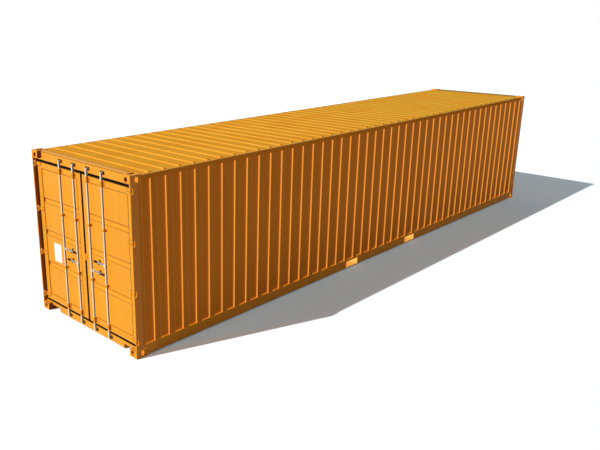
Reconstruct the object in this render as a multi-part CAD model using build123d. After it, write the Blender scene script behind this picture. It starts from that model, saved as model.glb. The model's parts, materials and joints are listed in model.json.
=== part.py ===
from build123d import *
import os

# Forty foot dry container, closed, standing on its four bottom castings.
# X runs across the container, Y along it with the doors at the -Y end, Z up.
# All sizes are in millimetres. "Depth" is measured back from the door end.

# Envelope of a standard height container
LENGTH = 12192.0
WIDTH = 2438.0
HEIGHT = 2591.0
HALF_L = LENGTH / 2
HALF_W = WIDTH / 2

# Corner castings, with the land left on each side of the twistlock slot
CASTING_L = 178.0
CASTING_W = 162.0
CASTING_H = 118.0
CASTING_PLATE = 28.5
CASTING_WALL = 15.0
CASTING_INNER_WALL = 10.0
CASTING_EDGE = 4.0
SLOT_LAND_END = 41.25
SLOT_LAND_BACK = 12.25
SLOT_LAND_SIDE = 57.75
SLOT_LAND_INNER = 40.75
SLOT_L = CASTING_L - SLOT_LAND_END - SLOT_LAND_BACK
SLOT_W = CASTING_W - SLOT_LAND_SIDE - SLOT_LAND_INNER
SLOT_X = HALF_W - SLOT_LAND_SIDE - SLOT_W / 2
SLOT_DEPTH = SLOT_LAND_END + SLOT_L / 2
HOLE_H = CASTING_H - CASTING_PLATE - CASTING_INNER_WALL
END_HOLE_STRAIGHT = 16.0
SIDE_HOLE_STRAIGHT = 28.5
END_HOLE_W = HOLE_H - END_HOLE_STRAIGHT
SIDE_HOLE_W = HOLE_H - SIDE_HOLE_STRAIGHT
INNER_X = HALF_W - CASTING_W

# Outer faces of the frame, set back from the castings
POST_SETBACK = 2.0
SIDE_SETBACK = 8.0
TOP_SETBACK = 6.0
POST_FACE = HALF_W - POST_SETBACK
SIDE_FACE = HALF_W - SIDE_SETBACK
FRAME_LOW = 17.0
FRAME_TOP = HEIGHT - TOP_SETBACK
UNDER_CASTING = HEIGHT - CASTING_H

# Levels of the base
SILL_TALL = 127.0
FLOOR_THICK = 28.0
RAIL_OVER_FLOOR = 3.0
SILL_TOP = FRAME_LOW + SILL_TALL
THRESHOLD_TOP = SILL_TOP + FLOOR_THICK

# Side rails
RAIL_STEEL = 4.5
BOTTOM_RAIL_FLANGE = 48.0
BOTTOM_RAIL_TOP = THRESHOLD_TOP + RAIL_OVER_FLOOR
TOP_RAIL_DROP = 22.0
TOP_RAIL_TALL = 66.0
TOP_RAIL_TOP = HEIGHT - TOP_RAIL_DROP
TOP_RAIL_LOW = TOP_RAIL_TOP - TOP_RAIL_TALL
TOP_RAIL_W = 60.0
TOP_RAIL_STEEL = 4.0

# Doors, first because the frame follows their depth
LEAF_DEPTH = 65.0
LEAF_THICK = 50.0
STOP_CLEAR = 7.0
FACE_BEHIND_LEAF = 5.0
FACE_DEPTH = LEAF_DEPTH + FACE_BEHIND_LEAF
STOP_DEPTH = LEAF_DEPTH + LEAF_THICK + STOP_CLEAR

# Door end frame
REAR_POST_STEEL = 6.0
REAR_POST_FRONT = 3.0
REAR_POST_LIP = 23.0
STOP_LENGTH = 40.0
HEADER_TALL = 139.0
HEADER_STOP_DROP = 12.0
HEADER_BEHIND_STOP = 28.0
SILL_BEHIND_STOP = 48.0
SILL_FACE_DROP = 14.0
SILL_NOTCH_W = 219.0
SILL_NOTCH_RISE = 65.0
END_STEEL = 6.0
HEADER_LOW = FRAME_TOP - HEADER_TALL
HEADER_STOP_LOW = HEADER_LOW - HEADER_STOP_DROP
HEADER_BACK = STOP_DEPTH + HEADER_BEHIND_STOP
SILL_FACE_TOP = SILL_TOP - SILL_FACE_DROP
SILL_BACK = STOP_DEPTH + SILL_BEHIND_STOP
SILL_NOTCH_IN = INNER_X - SILL_NOTCH_W
SILL_NOTCH_TOP = FRAME_LOW + SILL_NOTCH_RISE
SIDE_START = STOP_DEPTH + REAR_POST_STEEL
STOP_RETURN = SIDE_START + STOP_LENGTH

# Corrugated side walls
SHEET = 2.0
SIDE_WAVES = 45
SIDE_WAVE_DEPTH = 24.0
SIDE_OPENING = 168.0
SIDE_LONG_SLOPE = 30.0
SIDE_STEEP_SLOPE = 5.0
SIDE_EDGE = 44.0
SIDE_END = 140.0
SIDE_LAST_CREST = 88.0
SIDE_FIRST_WAVE = SIDE_START + SIDE_EDGE
SIDE_FIRST_CREST = SIDE_FIRST_WAVE + SIDE_OPENING
SIDE_PITCH = (LENGTH - SIDE_FIRST_CREST - SIDE_END - SIDE_LAST_CREST) / (SIDE_WAVES - 1)

# Roof sheet with raised cross ridges, each level with a crest of the side walls
ROOF_RIDGES = SIDE_WAVES - 1
RIDGE_BEHIND_CREST = 30.0
ROOF_FIRST_RIDGE = SIDE_FIRST_CREST + RIDGE_BEHIND_CREST
RIDGE_BASE = 64.0
RIDGE_CREST = 30.0
RIDGE_RISE = 14.0
RIDGE_SIDE_LAND = 58.0
RIDGE_RUN_OUT = 6.0
RIDGE_HALF_LENGTH = HALF_W - RIDGE_SIDE_LAND

# Front end frame and wall
FRONT_POST_LIP = 97.0
FRONT_POST_RETURN = 60.0
FRONT_FRAME_BACK = 75.0
FRONT_FRAME_FACE = 5.0
FRONT_WAVES = 9
FRONT_WAVE_DEPTH = 45.0
FRONT_WALL_FACE = 12.0
FRONT_SLOPE = 45.0
FRONT_EDGE = POST_FACE - FRONT_POST_LIP

# Floor, its cross members and the forklift pockets
CROSS_MEMBER_LIFT = 5.0
CROSS_MEMBER_W = 45.0
CROSS_MEMBER_PITCH = 297.0
CROSS_MEMBER_START = 60.0
CROSS_MEMBER_STEEL = 4.0
BOARD_GAP = 3.0
BOARD_ROWS = 5
POCKET_W = 360.0
POCKET_STEEL = 6.0
POCKET_OFFSET = 1025.0
POCKET_STRAP = 200.0
POCKET_LOW = FRAME_LOW + POCKET_STEEL
POCKET_TOP = SILL_TOP - POCKET_STEEL

# Door leaves
LEAF_SIDE_GAP = 9.0
LEAF_END_GAP = 34.0
LEAF_INNER = 20.0
OUTER_STILE = 115.0
INNER_STILE = 95.0
LEAF_LOW_RAIL = 114.0
LEAF_TOP_RAIL = 100.0
LEAF_STEEL = 4.0
LEAF_OVERLAP = 28.0
LEAF_OUTER = POST_FACE - REAR_POST_LIP - LEAF_SIDE_GAP
LEAF_LOW = SILL_FACE_TOP + LEAF_END_GAP
LEAF_TOP = HEADER_LOW - LEAF_END_GAP
DOOR_OPENING_HALF = LEAF_OUTER - LEAF_OVERLAP
PANEL_RECESS = 8.0
BAND_H = 80.0
BAND_FLAT = 36.0
BAND_DEPTH = 24.0
BAND_SHIFT = 17.0
BAND_PITCH = 515.0
MID_BAND = (LEAF_LOW + LEAF_TOP) / 2 + BAND_SHIFT
PANEL_BANDS = (MID_BAND - BAND_PITCH, MID_BAND, MID_BAND + BAND_PITCH)

# Rubber strip round each leaf
GASKET_LIP = 10.0
GASKET_INNER_LIP = 14.5
GASKET_END_LIP = 28.0
GASKET_FRONT = LEAF_DEPTH + 2.0
GASKET_BACK = LEAF_DEPTH + LEAF_THICK - 5.0

# Hinges
HINGE_INSET = 12.0
HINGE_X = HALF_W - HINGE_INSET
HINGE_DEPTH = 12.0
HINGE_FROM_LOW = 79.0
HINGE_FROM_TOP = 32.0
HINGES = 4
HINGE_FIRST = LEAF_LOW + HINGE_FROM_LOW
HINGE_STEP = (LEAF_TOP - HINGE_FROM_TOP - HINGE_FIRST) / (HINGES - 1)
HINGE_HEIGHTS = [HINGE_FIRST + i * HINGE_STEP for i in range(HINGES)]
PIN_R = 6.0
PIN_PLAY = 0.4
PIN_COLLAR = 3.0
KNUCKLE_R = 11.0
KNUCKLE_H = 60.0
LUG_GAP = 5.0
LUG_THICK = 12.0
LUG_BACK = 44.0
LUG_INSET = 1.0
LUG_R = KNUCKLE_R - LUG_INSET
BLADE_L = 125.0
BLADE_TIP = LEAF_OUTER - BLADE_L
BLADE_THICK = 8.0
BLADE_LAP = 14.0
BLADE_START = 8.0
BLADE_HEEL = 2.0
BLADE_ROOT_IN = 8.0
BLADE_ROOT_FRONT = 2.0
BLADE_ROOT_OUT = 6.0
BLADE_ROOT_BACK = 6.0
BLADE_ELBOW_IN = 9.0
BLADE_ELBOW_BACK = 22.0
NOTCH_HALF = KNUCKLE_H / 2 + LUG_GAP + LUG_THICK
NOTCH_BACK_W = 17.0

# Lock bars, seen from outside: bar 1 is the leftmost
BAR_OUT = 525.0
BAR_IN = 172.0
BAR_X = (-BAR_OUT, -BAR_IN, BAR_IN, BAR_OUT)
BAR_SIDE = (1, -1, 1, -1)
BAR_STAND = 21.5
BAR_DEPTH = LEAF_DEPTH - BAR_STAND
BAR_R = 17.0
BAR_WALL = 3.5
BAR_OVER_HEADER = 73.0
BAR_UNDER_SILL = 78.0
BAR_LOW = SILL_TOP - BAR_UNDER_SILL
BAR_TOP = HEADER_LOW + BAR_OVER_HEADER
CAM_R = BAR_R + 2.5
CAM_NOSE_R = BAR_R + 5.5
CAM_NOSE_H = 36.0
CAM_HALF = 14.0
CAM_SHOULDER = 12.0
CAM_TIP_FRONT = 4.0
CAM_TIP_BACK = 5.0
CAM_FRONT_SHARE = 0.8
CAM_BACK_SHARE = 0.6
CAM_CLEAR = 4.0
BRACKET_TALL = 84.0
GUIDE_TALL = 40.0
BRACKET_WALL = 6.5
BRACKET_R = BAR_R + BRACKET_WALL
BRACKET_PLAY = 0.6
BRACKET_FOOT = 42.0
BRACKET_FOOT_THICK = 5.0
BRACKET_FROM_LOW = 74.0
BRACKET_FROM_TOP = 60.0
GUIDE_OVER_BAND = 84.0
GUIDE_UNDER_BAND = 124.0
END_BRACKETS = (LEAF_LOW + BRACKET_FROM_LOW, LEAF_TOP - BRACKET_FROM_TOP)
GUIDES = (PANEL_BANDS[0] + GUIDE_OVER_BAND, PANEL_BANDS[2] - GUIDE_UNDER_BAND)
CAM_LOW_END = END_BRACKETS[0] - BRACKET_TALL / 2 - CAM_CLEAR
CAM_TOP_START = END_BRACKETS[1] + BRACKET_TALL / 2 + CAM_CLEAR
KEEPER_CLEAR = 7.0
KEEPER_GAP = CAM_NOSE_R + KEEPER_CLEAR
KEEPER_THICK = 9.0
KEEPER_REACH = 22.0
KEEPER_H = 44.0
KEEPER_INSET = 12.0
KEEPER_TIP = 7.0
KEEPER_TIP_SLANT = 3.0
KEEPER_FOOT = 5.0
KEEPER_FOOT_LEDGE = 3.5

# Handles, two levels
HANDLE_DROP_HIGH = 135.0
HANDLE_DROP_LOW = 287.0
HANDLE_HIGH = MID_BAND - HANDLE_DROP_HIGH
HANDLE_LOW = MID_BAND - HANDLE_DROP_LOW
HANDLE_HEIGHTS = (HANDLE_HIGH, HANDLE_LOW, HANDLE_LOW, HANDLE_HIGH)
HUB_R = BAR_R + 3.5
HUB_TALL = 38.0
PIVOT_OFFSET = HUB_R + 19.5
CHEEK_R = 15.0
CHEEK_THICK = 7.0
CHEEK_PLAY = 1.0
CHEEK_SLOT_INSET = 1.0
CHEEK_SLOT_START = HUB_R - CHEEK_SLOT_INSET
HANDLE_BAR = 26.0
HANDLE_THICK = 8.0
HANDLE_DEPTH = BAR_DEPTH + 5.5
GRIP_L = 87.0
GRIP_TO_NEXT_BAR = 52.0
GRIP_END = BAR_OUT - BAR_IN - GRIP_TO_NEXT_BAR
GRIP_START = GRIP_END - GRIP_L
GRIP_THICK = 14.0
CATCH_OFFSET = (BAR_OUT - BAR_IN) / 2
CATCH_W = 28.0
CATCH_PLATE = 5.0
CATCH_REACH = 12.0
CATCH_UNDER = 32.0
CATCH_OVER = 40.0
SHELF_W = 20.0
SHELF_THICK = 6.0
SHELF_CLEAR = 5.0
HASP_W = 14.0
HASP_THICK = 8.0
HASP_START = 12.0
HASP_END = 38.0

# Plates on the doors
SEAL_Z = HANDLE_HIGH + 2.0
SEAL_HALF = 50.0
SEAL_CORNER = 21.0
SEAL_THICK = 8.0
SEAL_GAP = 3.5
PLATE_IN = 410.0
PLATE_X = PLATE_IN - LEAF_OUTER
PLATE_DROP = 277.0
PLATE_Z = MID_BAND - PLATE_DROP
PLATE_W = 200.0
PLATE_H = 296.0
PLATE_THICK = 2.0


def dy(depth):
    """Y position of a depth behind the door end."""
    return depth - HALF_L


def fy(depth):
    """Y position of a depth behind the front end."""
    return HALF_L - depth


def block(x0, x1, y0, y1, z0, z1):
    """Box between two corners."""
    size = Box(abs(x1 - x0), abs(y1 - y0), abs(z1 - z0))
    return Pos((x0 + x1) / 2, (y0 + y1) / 2, (z0 + z1) / 2) * size


def prism_z(points, z0, z1):
    """Plan outline raised from z0 to z1."""
    face = make_face(Polyline(*[(x, y, z0) for x, y in points], close=True))
    return extrude(face, amount=z1 - z0, dir=(0, 0, 1))


def prism_x(points, x0, x1):
    """Outline in Y and Z run along X."""
    face = make_face(Polyline(*[(x0, y, z) for y, z in points], close=True))
    return extrude(face, amount=x1 - x0, dir=(1, 0, 0))


def prism_y(points, y0, y1):
    """Outline in X and Z run along Y."""
    face = make_face(Polyline(*[(x, y0, z) for x, z in points], close=True))
    return extrude(face, amount=y1 - y0, dir=(0, 1, 0))


def rod_z(x, y, radius, z0, z1):
    """Upright cylinder."""
    return Pos(x, y, (z0 + z1) / 2) * Cylinder(radius, z1 - z0)


def rod_y(x, z, radius, y0, y1):
    """Cylinder along the container."""
    return Pos(x, (y0 + y1) / 2, z) * Rot(90, 0, 0) * Cylinder(radius, y1 - y0)


def across(shape):
    """The same piece on the other side of the container."""
    return mirror(shape, about=Plane.YZ)


def folded_sheet(line):
    """Closed outline of a sheet whose second skin lies left of an open line."""
    skin = []
    for i, (a, b) in enumerate(line):
        folds = [(line[k], line[k + 1]) for k in (i - 1, i) if 0 <= k < len(line) - 1]
        across_a = 0.0
        across_b = 0.0
        for (a0, b0), (a1, b1) in folds:
            run = ((a1 - a0) ** 2 + (b1 - b0) ** 2) ** 0.5
            across_a -= (b1 - b0) / run
            across_b += (a1 - a0) / run
        scale = len(folds) * SHEET / (across_a ** 2 + across_b ** 2)
        skin.append((a + across_a * scale, b + across_b * scale))
    return line + skin[::-1]


def save(name, *shapes):
    """Write one piece, made of one solid or of several that don't touch."""
    solids = []
    for shape in shapes:
        solids.extend(shape.solids())
    if len(solids) == 1:
        export_step(solids[0], "parts/" + name + ".step")
    else:
        export_step(Compound(children=solids), "parts/" + name + ".step")


def corner_casting():
    """Bottom casting of the +X side at the door end."""
    y0 = dy(0)
    body = block(INNER_X, HALF_W, y0, y0 + CASTING_L, 0, CASTING_H)
    body = chamfer(body.edges(), CASTING_EDGE)
    cavity = block(INNER_X + CASTING_INNER_WALL, HALF_W - CASTING_WALL,
                   y0 + CASTING_WALL, y0 + CASTING_L - CASTING_INNER_WALL,
                   CASTING_PLATE, CASTING_H - CASTING_INNER_WALL)
    slot_x = SLOT_X
    slot_y = dy(SLOT_DEPTH)
    slot = extrude(Pos(slot_x, slot_y, -1) * Rot(0, 0, 90) * SlotOverall(SLOT_L, SLOT_W),
                   amount=CASTING_PLATE + 2)
    hole_z = CASTING_PLATE + HOLE_H / 2
    end_plane = Plane(origin=(slot_x, y0 - 1, hole_z), x_dir=(0, 0, 1), z_dir=(0, 1, 0))
    end_hole = extrude(end_plane * SlotOverall(HOLE_H, END_HOLE_W), amount=CASTING_WALL + 2)
    side_plane = Plane(origin=(HALF_W + 1, slot_y, hole_z), x_dir=(0, 0, 1), z_dir=(-1, 0, 0))
    side_hole = extrude(side_plane * SlotOverall(HOLE_H, SIDE_HOLE_W), amount=CASTING_WALL + 2)
    return body - cavity - slot - end_hole - side_hole


def rear_post():
    """Folded door post on the +X side, notched at the hinges."""
    lip = POST_FACE - REAR_POST_LIP
    inner = POST_FACE - REAR_POST_STEEL
    front = REAR_POST_FRONT
    steel = REAR_POST_STEEL
    outline = [
        (lip, dy(front)), (POST_FACE, dy(front)), (POST_FACE, dy(SIDE_START)),
        (DOOR_OPENING_HALF + steel, dy(SIDE_START)), (DOOR_OPENING_HALF + steel, dy(STOP_RETURN)),
        (DOOR_OPENING_HALF, dy(STOP_RETURN)), (DOOR_OPENING_HALF, dy(STOP_DEPTH)),
        (inner, dy(STOP_DEPTH)), (inner, dy(front + steel)), (lip, dy(front + steel)),
    ]
    post = prism_z(outline, CASTING_H, UNDER_CASTING)
    for z in HINGE_HEIGHTS:
        post -= block(lip - 5, HALF_W + 5, dy(-5), dy(LUG_BACK), z - NOTCH_HALF, z + NOTCH_HALF)
        post += block(POST_FACE - NOTCH_BACK_W, POST_FACE, dy(LUG_BACK), dy(LUG_BACK + steel),
                      z - NOTCH_HALF, z + NOTCH_HALF)
    return post


def front_post():
    """Folded front post on the +X side."""
    steel = REAR_POST_STEEL
    inner = POST_FACE - steel
    lip = FRONT_EDGE
    outline = [
        (POST_FACE, fy(SIDE_END)), (POST_FACE, fy(REAR_POST_FRONT)), (lip, fy(REAR_POST_FRONT)),
        (lip, fy(FRONT_POST_RETURN)), (lip + steel, fy(FRONT_POST_RETURN)),
        (lip + steel, fy(REAR_POST_FRONT + steel)), (inner, fy(REAR_POST_FRONT + steel)),
        (inner, fy(SIDE_END)),
    ]
    return prism_z(outline, CASTING_H, UNDER_CASTING)


def door_header():
    """Box beam over the doors with a stop lip behind them."""
    steel = END_STEEL
    wide = POST_FACE - REAR_POST_STEEL
    beam = block(-INNER_X, INNER_X, dy(FACE_DEPTH), dy(HEADER_BACK), HEADER_LOW, FRAME_TOP)
    beam -= block(-INNER_X + steel, INNER_X - steel, dy(FACE_DEPTH + steel),
                  dy(HEADER_BACK - steel), HEADER_LOW + steel, FRAME_TOP - steel)
    shoulder = block(-wide, wide, dy(FACE_DEPTH), dy(STOP_DEPTH), HEADER_LOW, HEADER_LOW + steel)
    for side in (-1, 1):
        shoulder += block(side * INNER_X, side * wide, dy(FACE_DEPTH), dy(FACE_DEPTH + steel),
                          HEADER_LOW, UNDER_CASTING)
    stop = block(-DOOR_OPENING_HALF, DOOR_OPENING_HALF, dy(STOP_DEPTH), dy(STOP_DEPTH + steel),
                 HEADER_STOP_LOW, UNDER_CASTING)
    return beam + shoulder + stop


def door_sill():
    """Folded beam under the doors, cut away beside the bottom castings."""
    steel = END_STEEL
    wide = POST_FACE - REAR_POST_STEEL
    outline = [
        (-wide, CASTING_H), (-INNER_X, CASTING_H), (-INNER_X, SILL_NOTCH_TOP),
        (-SILL_NOTCH_IN, SILL_NOTCH_TOP), (-SILL_NOTCH_IN, FRAME_LOW),
        (SILL_NOTCH_IN, FRAME_LOW), (SILL_NOTCH_IN, SILL_NOTCH_TOP),
        (INNER_X, SILL_NOTCH_TOP), (INNER_X, CASTING_H), (wide, CASTING_H),
        (wide, SILL_FACE_TOP), (-wide, SILL_FACE_TOP),
    ]
    sill = prism_y(outline, dy(FACE_DEPTH), dy(FACE_DEPTH + steel))
    sill += block(-wide, wide, dy(FACE_DEPTH), dy(STOP_DEPTH), SILL_FACE_TOP - steel, SILL_FACE_TOP)
    sill += block(-SILL_NOTCH_IN, SILL_NOTCH_IN, dy(FACE_DEPTH), dy(SILL_BACK),
                  FRAME_LOW, FRAME_LOW + steel)
    sill += block(-DOOR_OPENING_HALF, DOOR_OPENING_HALF, dy(STOP_DEPTH - steel), dy(STOP_DEPTH),
                  CASTING_H, THRESHOLD_TOP)
    sill += block(-DOOR_OPENING_HALF, DOOR_OPENING_HALF, dy(STOP_DEPTH - steel), dy(SILL_BACK),
                  THRESHOLD_TOP - steel, THRESHOLD_TOP)
    for side in (-1, 1):
        sill += block(side * SILL_NOTCH_IN, side * INNER_X, dy(FACE_DEPTH), dy(SILL_BACK),
                      SILL_NOTCH_TOP, SILL_NOTCH_TOP + steel)
        sill += block(side * SILL_NOTCH_IN, side * (SILL_NOTCH_IN - steel), dy(FACE_DEPTH),
                      dy(SILL_BACK), FRAME_LOW, SILL_NOTCH_TOP + steel)
    return sill


def front_beam(low, top):
    """Box beam between two castings of the front end."""
    steel = END_STEEL
    beam = block(-INNER_X, INNER_X, fy(FRONT_FRAME_FACE), fy(FRONT_FRAME_BACK), low, top)
    return beam - block(-INNER_X + steel, INNER_X - steel, fy(FRONT_FRAME_FACE + steel),
                        fy(FRONT_FRAME_BACK - steel), low + steel, top - steel)


def front_sill():
    """Box beam under the front wall, carried over the castings to the posts."""
    steel = END_STEEL
    sill = front_beam(FRAME_LOW, THRESHOLD_TOP)
    for side in (-1, 1):
        sill += block(side * INNER_X, side * FRONT_EDGE, fy(FRONT_FRAME_FACE),
                      fy(FRONT_FRAME_FACE + steel), CASTING_H, THRESHOLD_TOP)
        sill += block(side * INNER_X, side * FRONT_EDGE, fy(FRONT_FRAME_FACE),
                      fy(FRONT_FRAME_BACK), THRESHOLD_TOP - steel, THRESHOLD_TOP)
    return sill


def bottom_rail():
    """Channel rail on the +X side with two forklift openings."""
    steel = RAIL_STEEL
    inner = SIDE_FACE - BOTTOM_RAIL_FLANGE
    outline = [
        (SIDE_FACE, FRAME_LOW), (SIDE_FACE, BOTTOM_RAIL_TOP), (inner, BOTTOM_RAIL_TOP),
        (inner, BOTTOM_RAIL_TOP - steel), (SIDE_FACE - steel, BOTTOM_RAIL_TOP - steel),
        (SIDE_FACE - steel, FRAME_LOW + steel), (inner, FRAME_LOW + steel), (inner, FRAME_LOW),
    ]
    rail = prism_y(outline, dy(CASTING_L), fy(CASTING_L))
    post_x = DOOR_OPENING_HALF + REAR_POST_STEEL
    for y0, y1, x in ((dy(SIDE_START), dy(CASTING_L), max(inner, post_x)),
                      (fy(CASTING_L), fy(SIDE_END), inner)):
        rail += block(SIDE_FACE - steel, SIDE_FACE, y0, y1, CASTING_H, BOTTOM_RAIL_TOP)
        rail += block(x, SIDE_FACE, y0, y1, BOTTOM_RAIL_TOP - steel, BOTTOM_RAIL_TOP)
    for y in (-POCKET_OFFSET, POCKET_OFFSET):
        rail -= block(inner - 5, SIDE_FACE + 5, y - POCKET_W / 2, y + POCKET_W / 2,
                      POCKET_LOW, POCKET_TOP)
        half = POCKET_W / 2 + POCKET_STEEL
        rail -= block(inner - 5, SIDE_FACE - steel, y - half, y + half,
                      FRAME_LOW - 1, POCKET_TOP)
    return rail


def top_rail():
    """Hollow rail on the +X side."""
    inner = SIDE_FACE - TOP_RAIL_W
    steel = TOP_RAIL_STEEL
    rail = block(inner, SIDE_FACE, dy(CASTING_L), fy(CASTING_L), TOP_RAIL_LOW, TOP_RAIL_TOP)
    return rail - block(inner + steel, SIDE_FACE - steel, dy(CASTING_L), fy(CASTING_L),
                        TOP_RAIL_LOW + steel, TOP_RAIL_TOP - steel)


def side_wall():
    """Corrugated sheet of the +X side."""
    line = [(SIDE_FACE, dy(SIDE_START))]
    recess = SIDE_FACE - SIDE_WAVE_DEPTH
    for i in range(SIDE_WAVES):
        y = dy(SIDE_FIRST_WAVE + i * SIDE_PITCH)
        line.append((SIDE_FACE, y))
        line.append((recess, y + SIDE_LONG_SLOPE))
        line.append((recess, y + SIDE_OPENING - SIDE_STEEP_SLOPE))
        line.append((SIDE_FACE, y + SIDE_OPENING))
    line.append((SIDE_FACE, fy(SIDE_END)))
    sheet = prism_z(folded_sheet(line), BOTTOM_RAIL_TOP, TOP_RAIL_LOW)
    under = UNDER_CASTING
    sheet -= block(INNER_X, HALF_W, dy(0), dy(CASTING_L), under, HEIGHT)
    sheet -= block(INNER_X, HALF_W, fy(CASTING_L), fy(0), under, HEIGHT)
    return sheet


def front_wall():
    """Corrugated sheet of the front end, ribs upright."""
    edge = FRONT_EDGE
    pitch = 2 * edge / FRONT_WAVES
    flat = (pitch - 2 * FRONT_SLOPE) / 2
    near = fy(FRONT_WALL_FACE)
    far = fy(FRONT_WALL_FACE + FRONT_WAVE_DEPTH)
    line = [(edge, near)]
    for i in range(FRONT_WAVES):
        x = edge - i * pitch - flat / 2
        line.append((x, near))
        line.append((x - FRONT_SLOPE, far))
        line.append((x - FRONT_SLOPE - flat, far))
        line.append((x - 2 * FRONT_SLOPE - flat, near))
    line.append((-edge, near))
    return prism_z(folded_sheet(line), THRESHOLD_TOP, UNDER_CASTING)


def ridge(y, z0, rise, lift):
    """Cross ridge of the roof as a flat-topped hip; lift offsets its lower skin."""
    base = Pos(0, y, z0) * Rectangle(2 * (RIDGE_HALF_LENGTH - lift), RIDGE_BASE - 2 * lift)
    crest = Pos(0, y, z0 + rise) * Rectangle(2 * (RIDGE_HALF_LENGTH - RIDGE_RUN_OUT - lift),
                                             RIDGE_CREST - 2 * lift)
    return loft([base, crest])


def roof():
    """Sheet over the whole top, ridges raised across it."""
    z = TOP_RAIL_TOP
    rise = RIDGE_RISE
    sheet = block(-SIDE_FACE, SIDE_FACE, dy(HEADER_BACK), fy(FRONT_FRAME_BACK), z, z + SHEET)
    for y0, y1 in ((dy(0), dy(CASTING_L)), (fy(CASTING_L), fy(0))):
        sheet -= block(INNER_X, HALF_W, y0, y1, z - 5, z + 5)
        sheet -= block(-HALF_W, -INNER_X, y0, y1, z - 5, z + 5)
    ys = [dy(ROOF_FIRST_RIDGE + i * SIDE_PITCH) for i in range(ROOF_RIDGES)]
    sheet += [ridge(y, z + SHEET, rise, 0) for y in ys]
    sheet -= [ridge(y, z, rise, SHEET) for y in ys]
    return sheet


def floor_boards():
    """Plywood boards laid in two columns."""
    x1 = SIDE_FACE - BOTTOM_RAIL_FLANGE
    y0 = dy(SILL_BACK)
    y1 = fy(FRONT_FRAME_BACK)
    step = (y1 - y0 + BOARD_GAP) / BOARD_ROWS
    boards = []
    for row in range(BOARD_ROWS):
        a = y0 + row * step
        b = a + step - BOARD_GAP
        boards.append(block(-x1, -BOARD_GAP / 2, a, b, SILL_TOP, THRESHOLD_TOP))
        boards.append(block(BOARD_GAP / 2, x1, a, b, SILL_TOP, THRESHOLD_TOP))
    return boards


def cross_members():
    """Channels under the floor, left out where the forklift pockets run."""
    x1 = SIDE_FACE - RAIL_STEEL
    t = CROSS_MEMBER_STEEL
    z1 = SILL_TOP
    z0 = FRAME_LOW + CROSS_MEMBER_LIFT
    y0 = dy(CASTING_L + CROSS_MEMBER_START)
    count = int((fy(CASTING_L + CROSS_MEMBER_START) - y0) // CROSS_MEMBER_PITCH) + 1
    blocked = POCKET_W / 2 + POCKET_STEEL + CROSS_MEMBER_W
    members = []
    for i in range(count):
        y = y0 + i * CROSS_MEMBER_PITCH
        if min(abs(y - POCKET_OFFSET), abs(y + POCKET_OFFSET)) < blocked:
            continue
        w = CROSS_MEMBER_W
        section = [(y, z0), (y + w, z0), (y + w, z0 + t), (y + t, z0 + t),
                   (y + t, z1 - t), (y + w, z1 - t), (y + w, z1), (y, z1)]
        members.append(prism_x(section, -x1, x1))
    return members


def fork_pockets():
    """Two tunnels across the base, strapped underneath at both ends."""
    x1 = SIDE_FACE - RAIL_STEEL
    t = POCKET_STEEL
    top = SILL_TOP
    pockets = []
    for y in (-POCKET_OFFSET, POCKET_OFFSET):
        a = y - POCKET_W / 2
        b = y + POCKET_W / 2
        section = [(a - t, POCKET_LOW - t), (a, POCKET_LOW - t), (a, POCKET_TOP),
                   (b, POCKET_TOP), (b, POCKET_LOW - t), (b + t, POCKET_LOW - t),
                   (b + t, top), (a - t, top)]
        tunnel = prism_x(section, -x1, x1)
        for side in (-1, 1):
            tunnel += block(side * x1, side * (x1 - POCKET_STRAP), a, b,
                            POCKET_LOW - t, POCKET_LOW)
        pockets.append(tunnel)
    return pockets


def hinge_lugs():
    """Pairs of plates on the +X post that hold the hinge pins."""
    lugs = []
    y = dy(HINGE_DEPTH)
    for z in HINGE_HEIGHTS:
        for low in (z - NOTCH_HALF, z + NOTCH_HALF - LUG_THICK):
            high = low + LUG_THICK
            lug = rod_z(HINGE_X, y, LUG_R, low, high)
            lug += block(HINGE_X - LUG_R, POST_FACE, y, dy(LUG_BACK), low, high)
            lugs.append(lug - rod_z(HINGE_X, y, PIN_R + PIN_PLAY / 2, low - 1, high + 1))
    return lugs


def hinge_pins():
    """Pins of the +X side, each with a collar that rests on its lower lug."""
    pins = []
    y = dy(HINGE_DEPTH)
    for z in HINGE_HEIGHTS:
        seat = z - NOTCH_HALF + LUG_THICK
        pin = rod_z(HINGE_X, y, PIN_R, z - NOTCH_HALF, z + NOTCH_HALF)
        pins.append(pin + rod_z(HINGE_X, y, PIN_R + PIN_COLLAR, seat,
                               seat + PIN_COLLAR))
    return pins


def hinge_blades():
    """Blades of the +X door, cranked round the post to its outside face."""
    blades = []
    y = dy(HINGE_DEPTH)
    face = dy(LEAF_DEPTH)
    back = face - BLADE_THICK
    tip_r = KNUCKLE_H / 2
    for z in HINGE_HEIGHTS:
        low = z - KNUCKLE_H / 2
        high = z + KNUCKLE_H / 2
        arm = [(HINGE_X - BLADE_ROOT_IN, y + BLADE_ROOT_FRONT),
               (HINGE_X + BLADE_ROOT_OUT, y + BLADE_ROOT_BACK),
               (HINGE_X - BLADE_ELBOW_IN, y + BLADE_ELBOW_BACK),
               (LEAF_OUTER + BLADE_HEEL, face), (LEAF_OUTER - BLADE_LAP, face),
               (LEAF_OUTER - BLADE_LAP, back)]
        blade = rod_z(HINGE_X, y, KNUCKLE_R, low, high)
        blade += prism_z(arm, low, high)
        blade += block(BLADE_TIP + tip_r, LEAF_OUTER - BLADE_START, back, face, low, high)
        blade += rod_y(BLADE_TIP + tip_r, z, tip_r, back, face)
        blades.append(blade - rod_z(HINGE_X, y, PIN_R + PIN_PLAY, low - 1, high + 1))
    return blades


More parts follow.
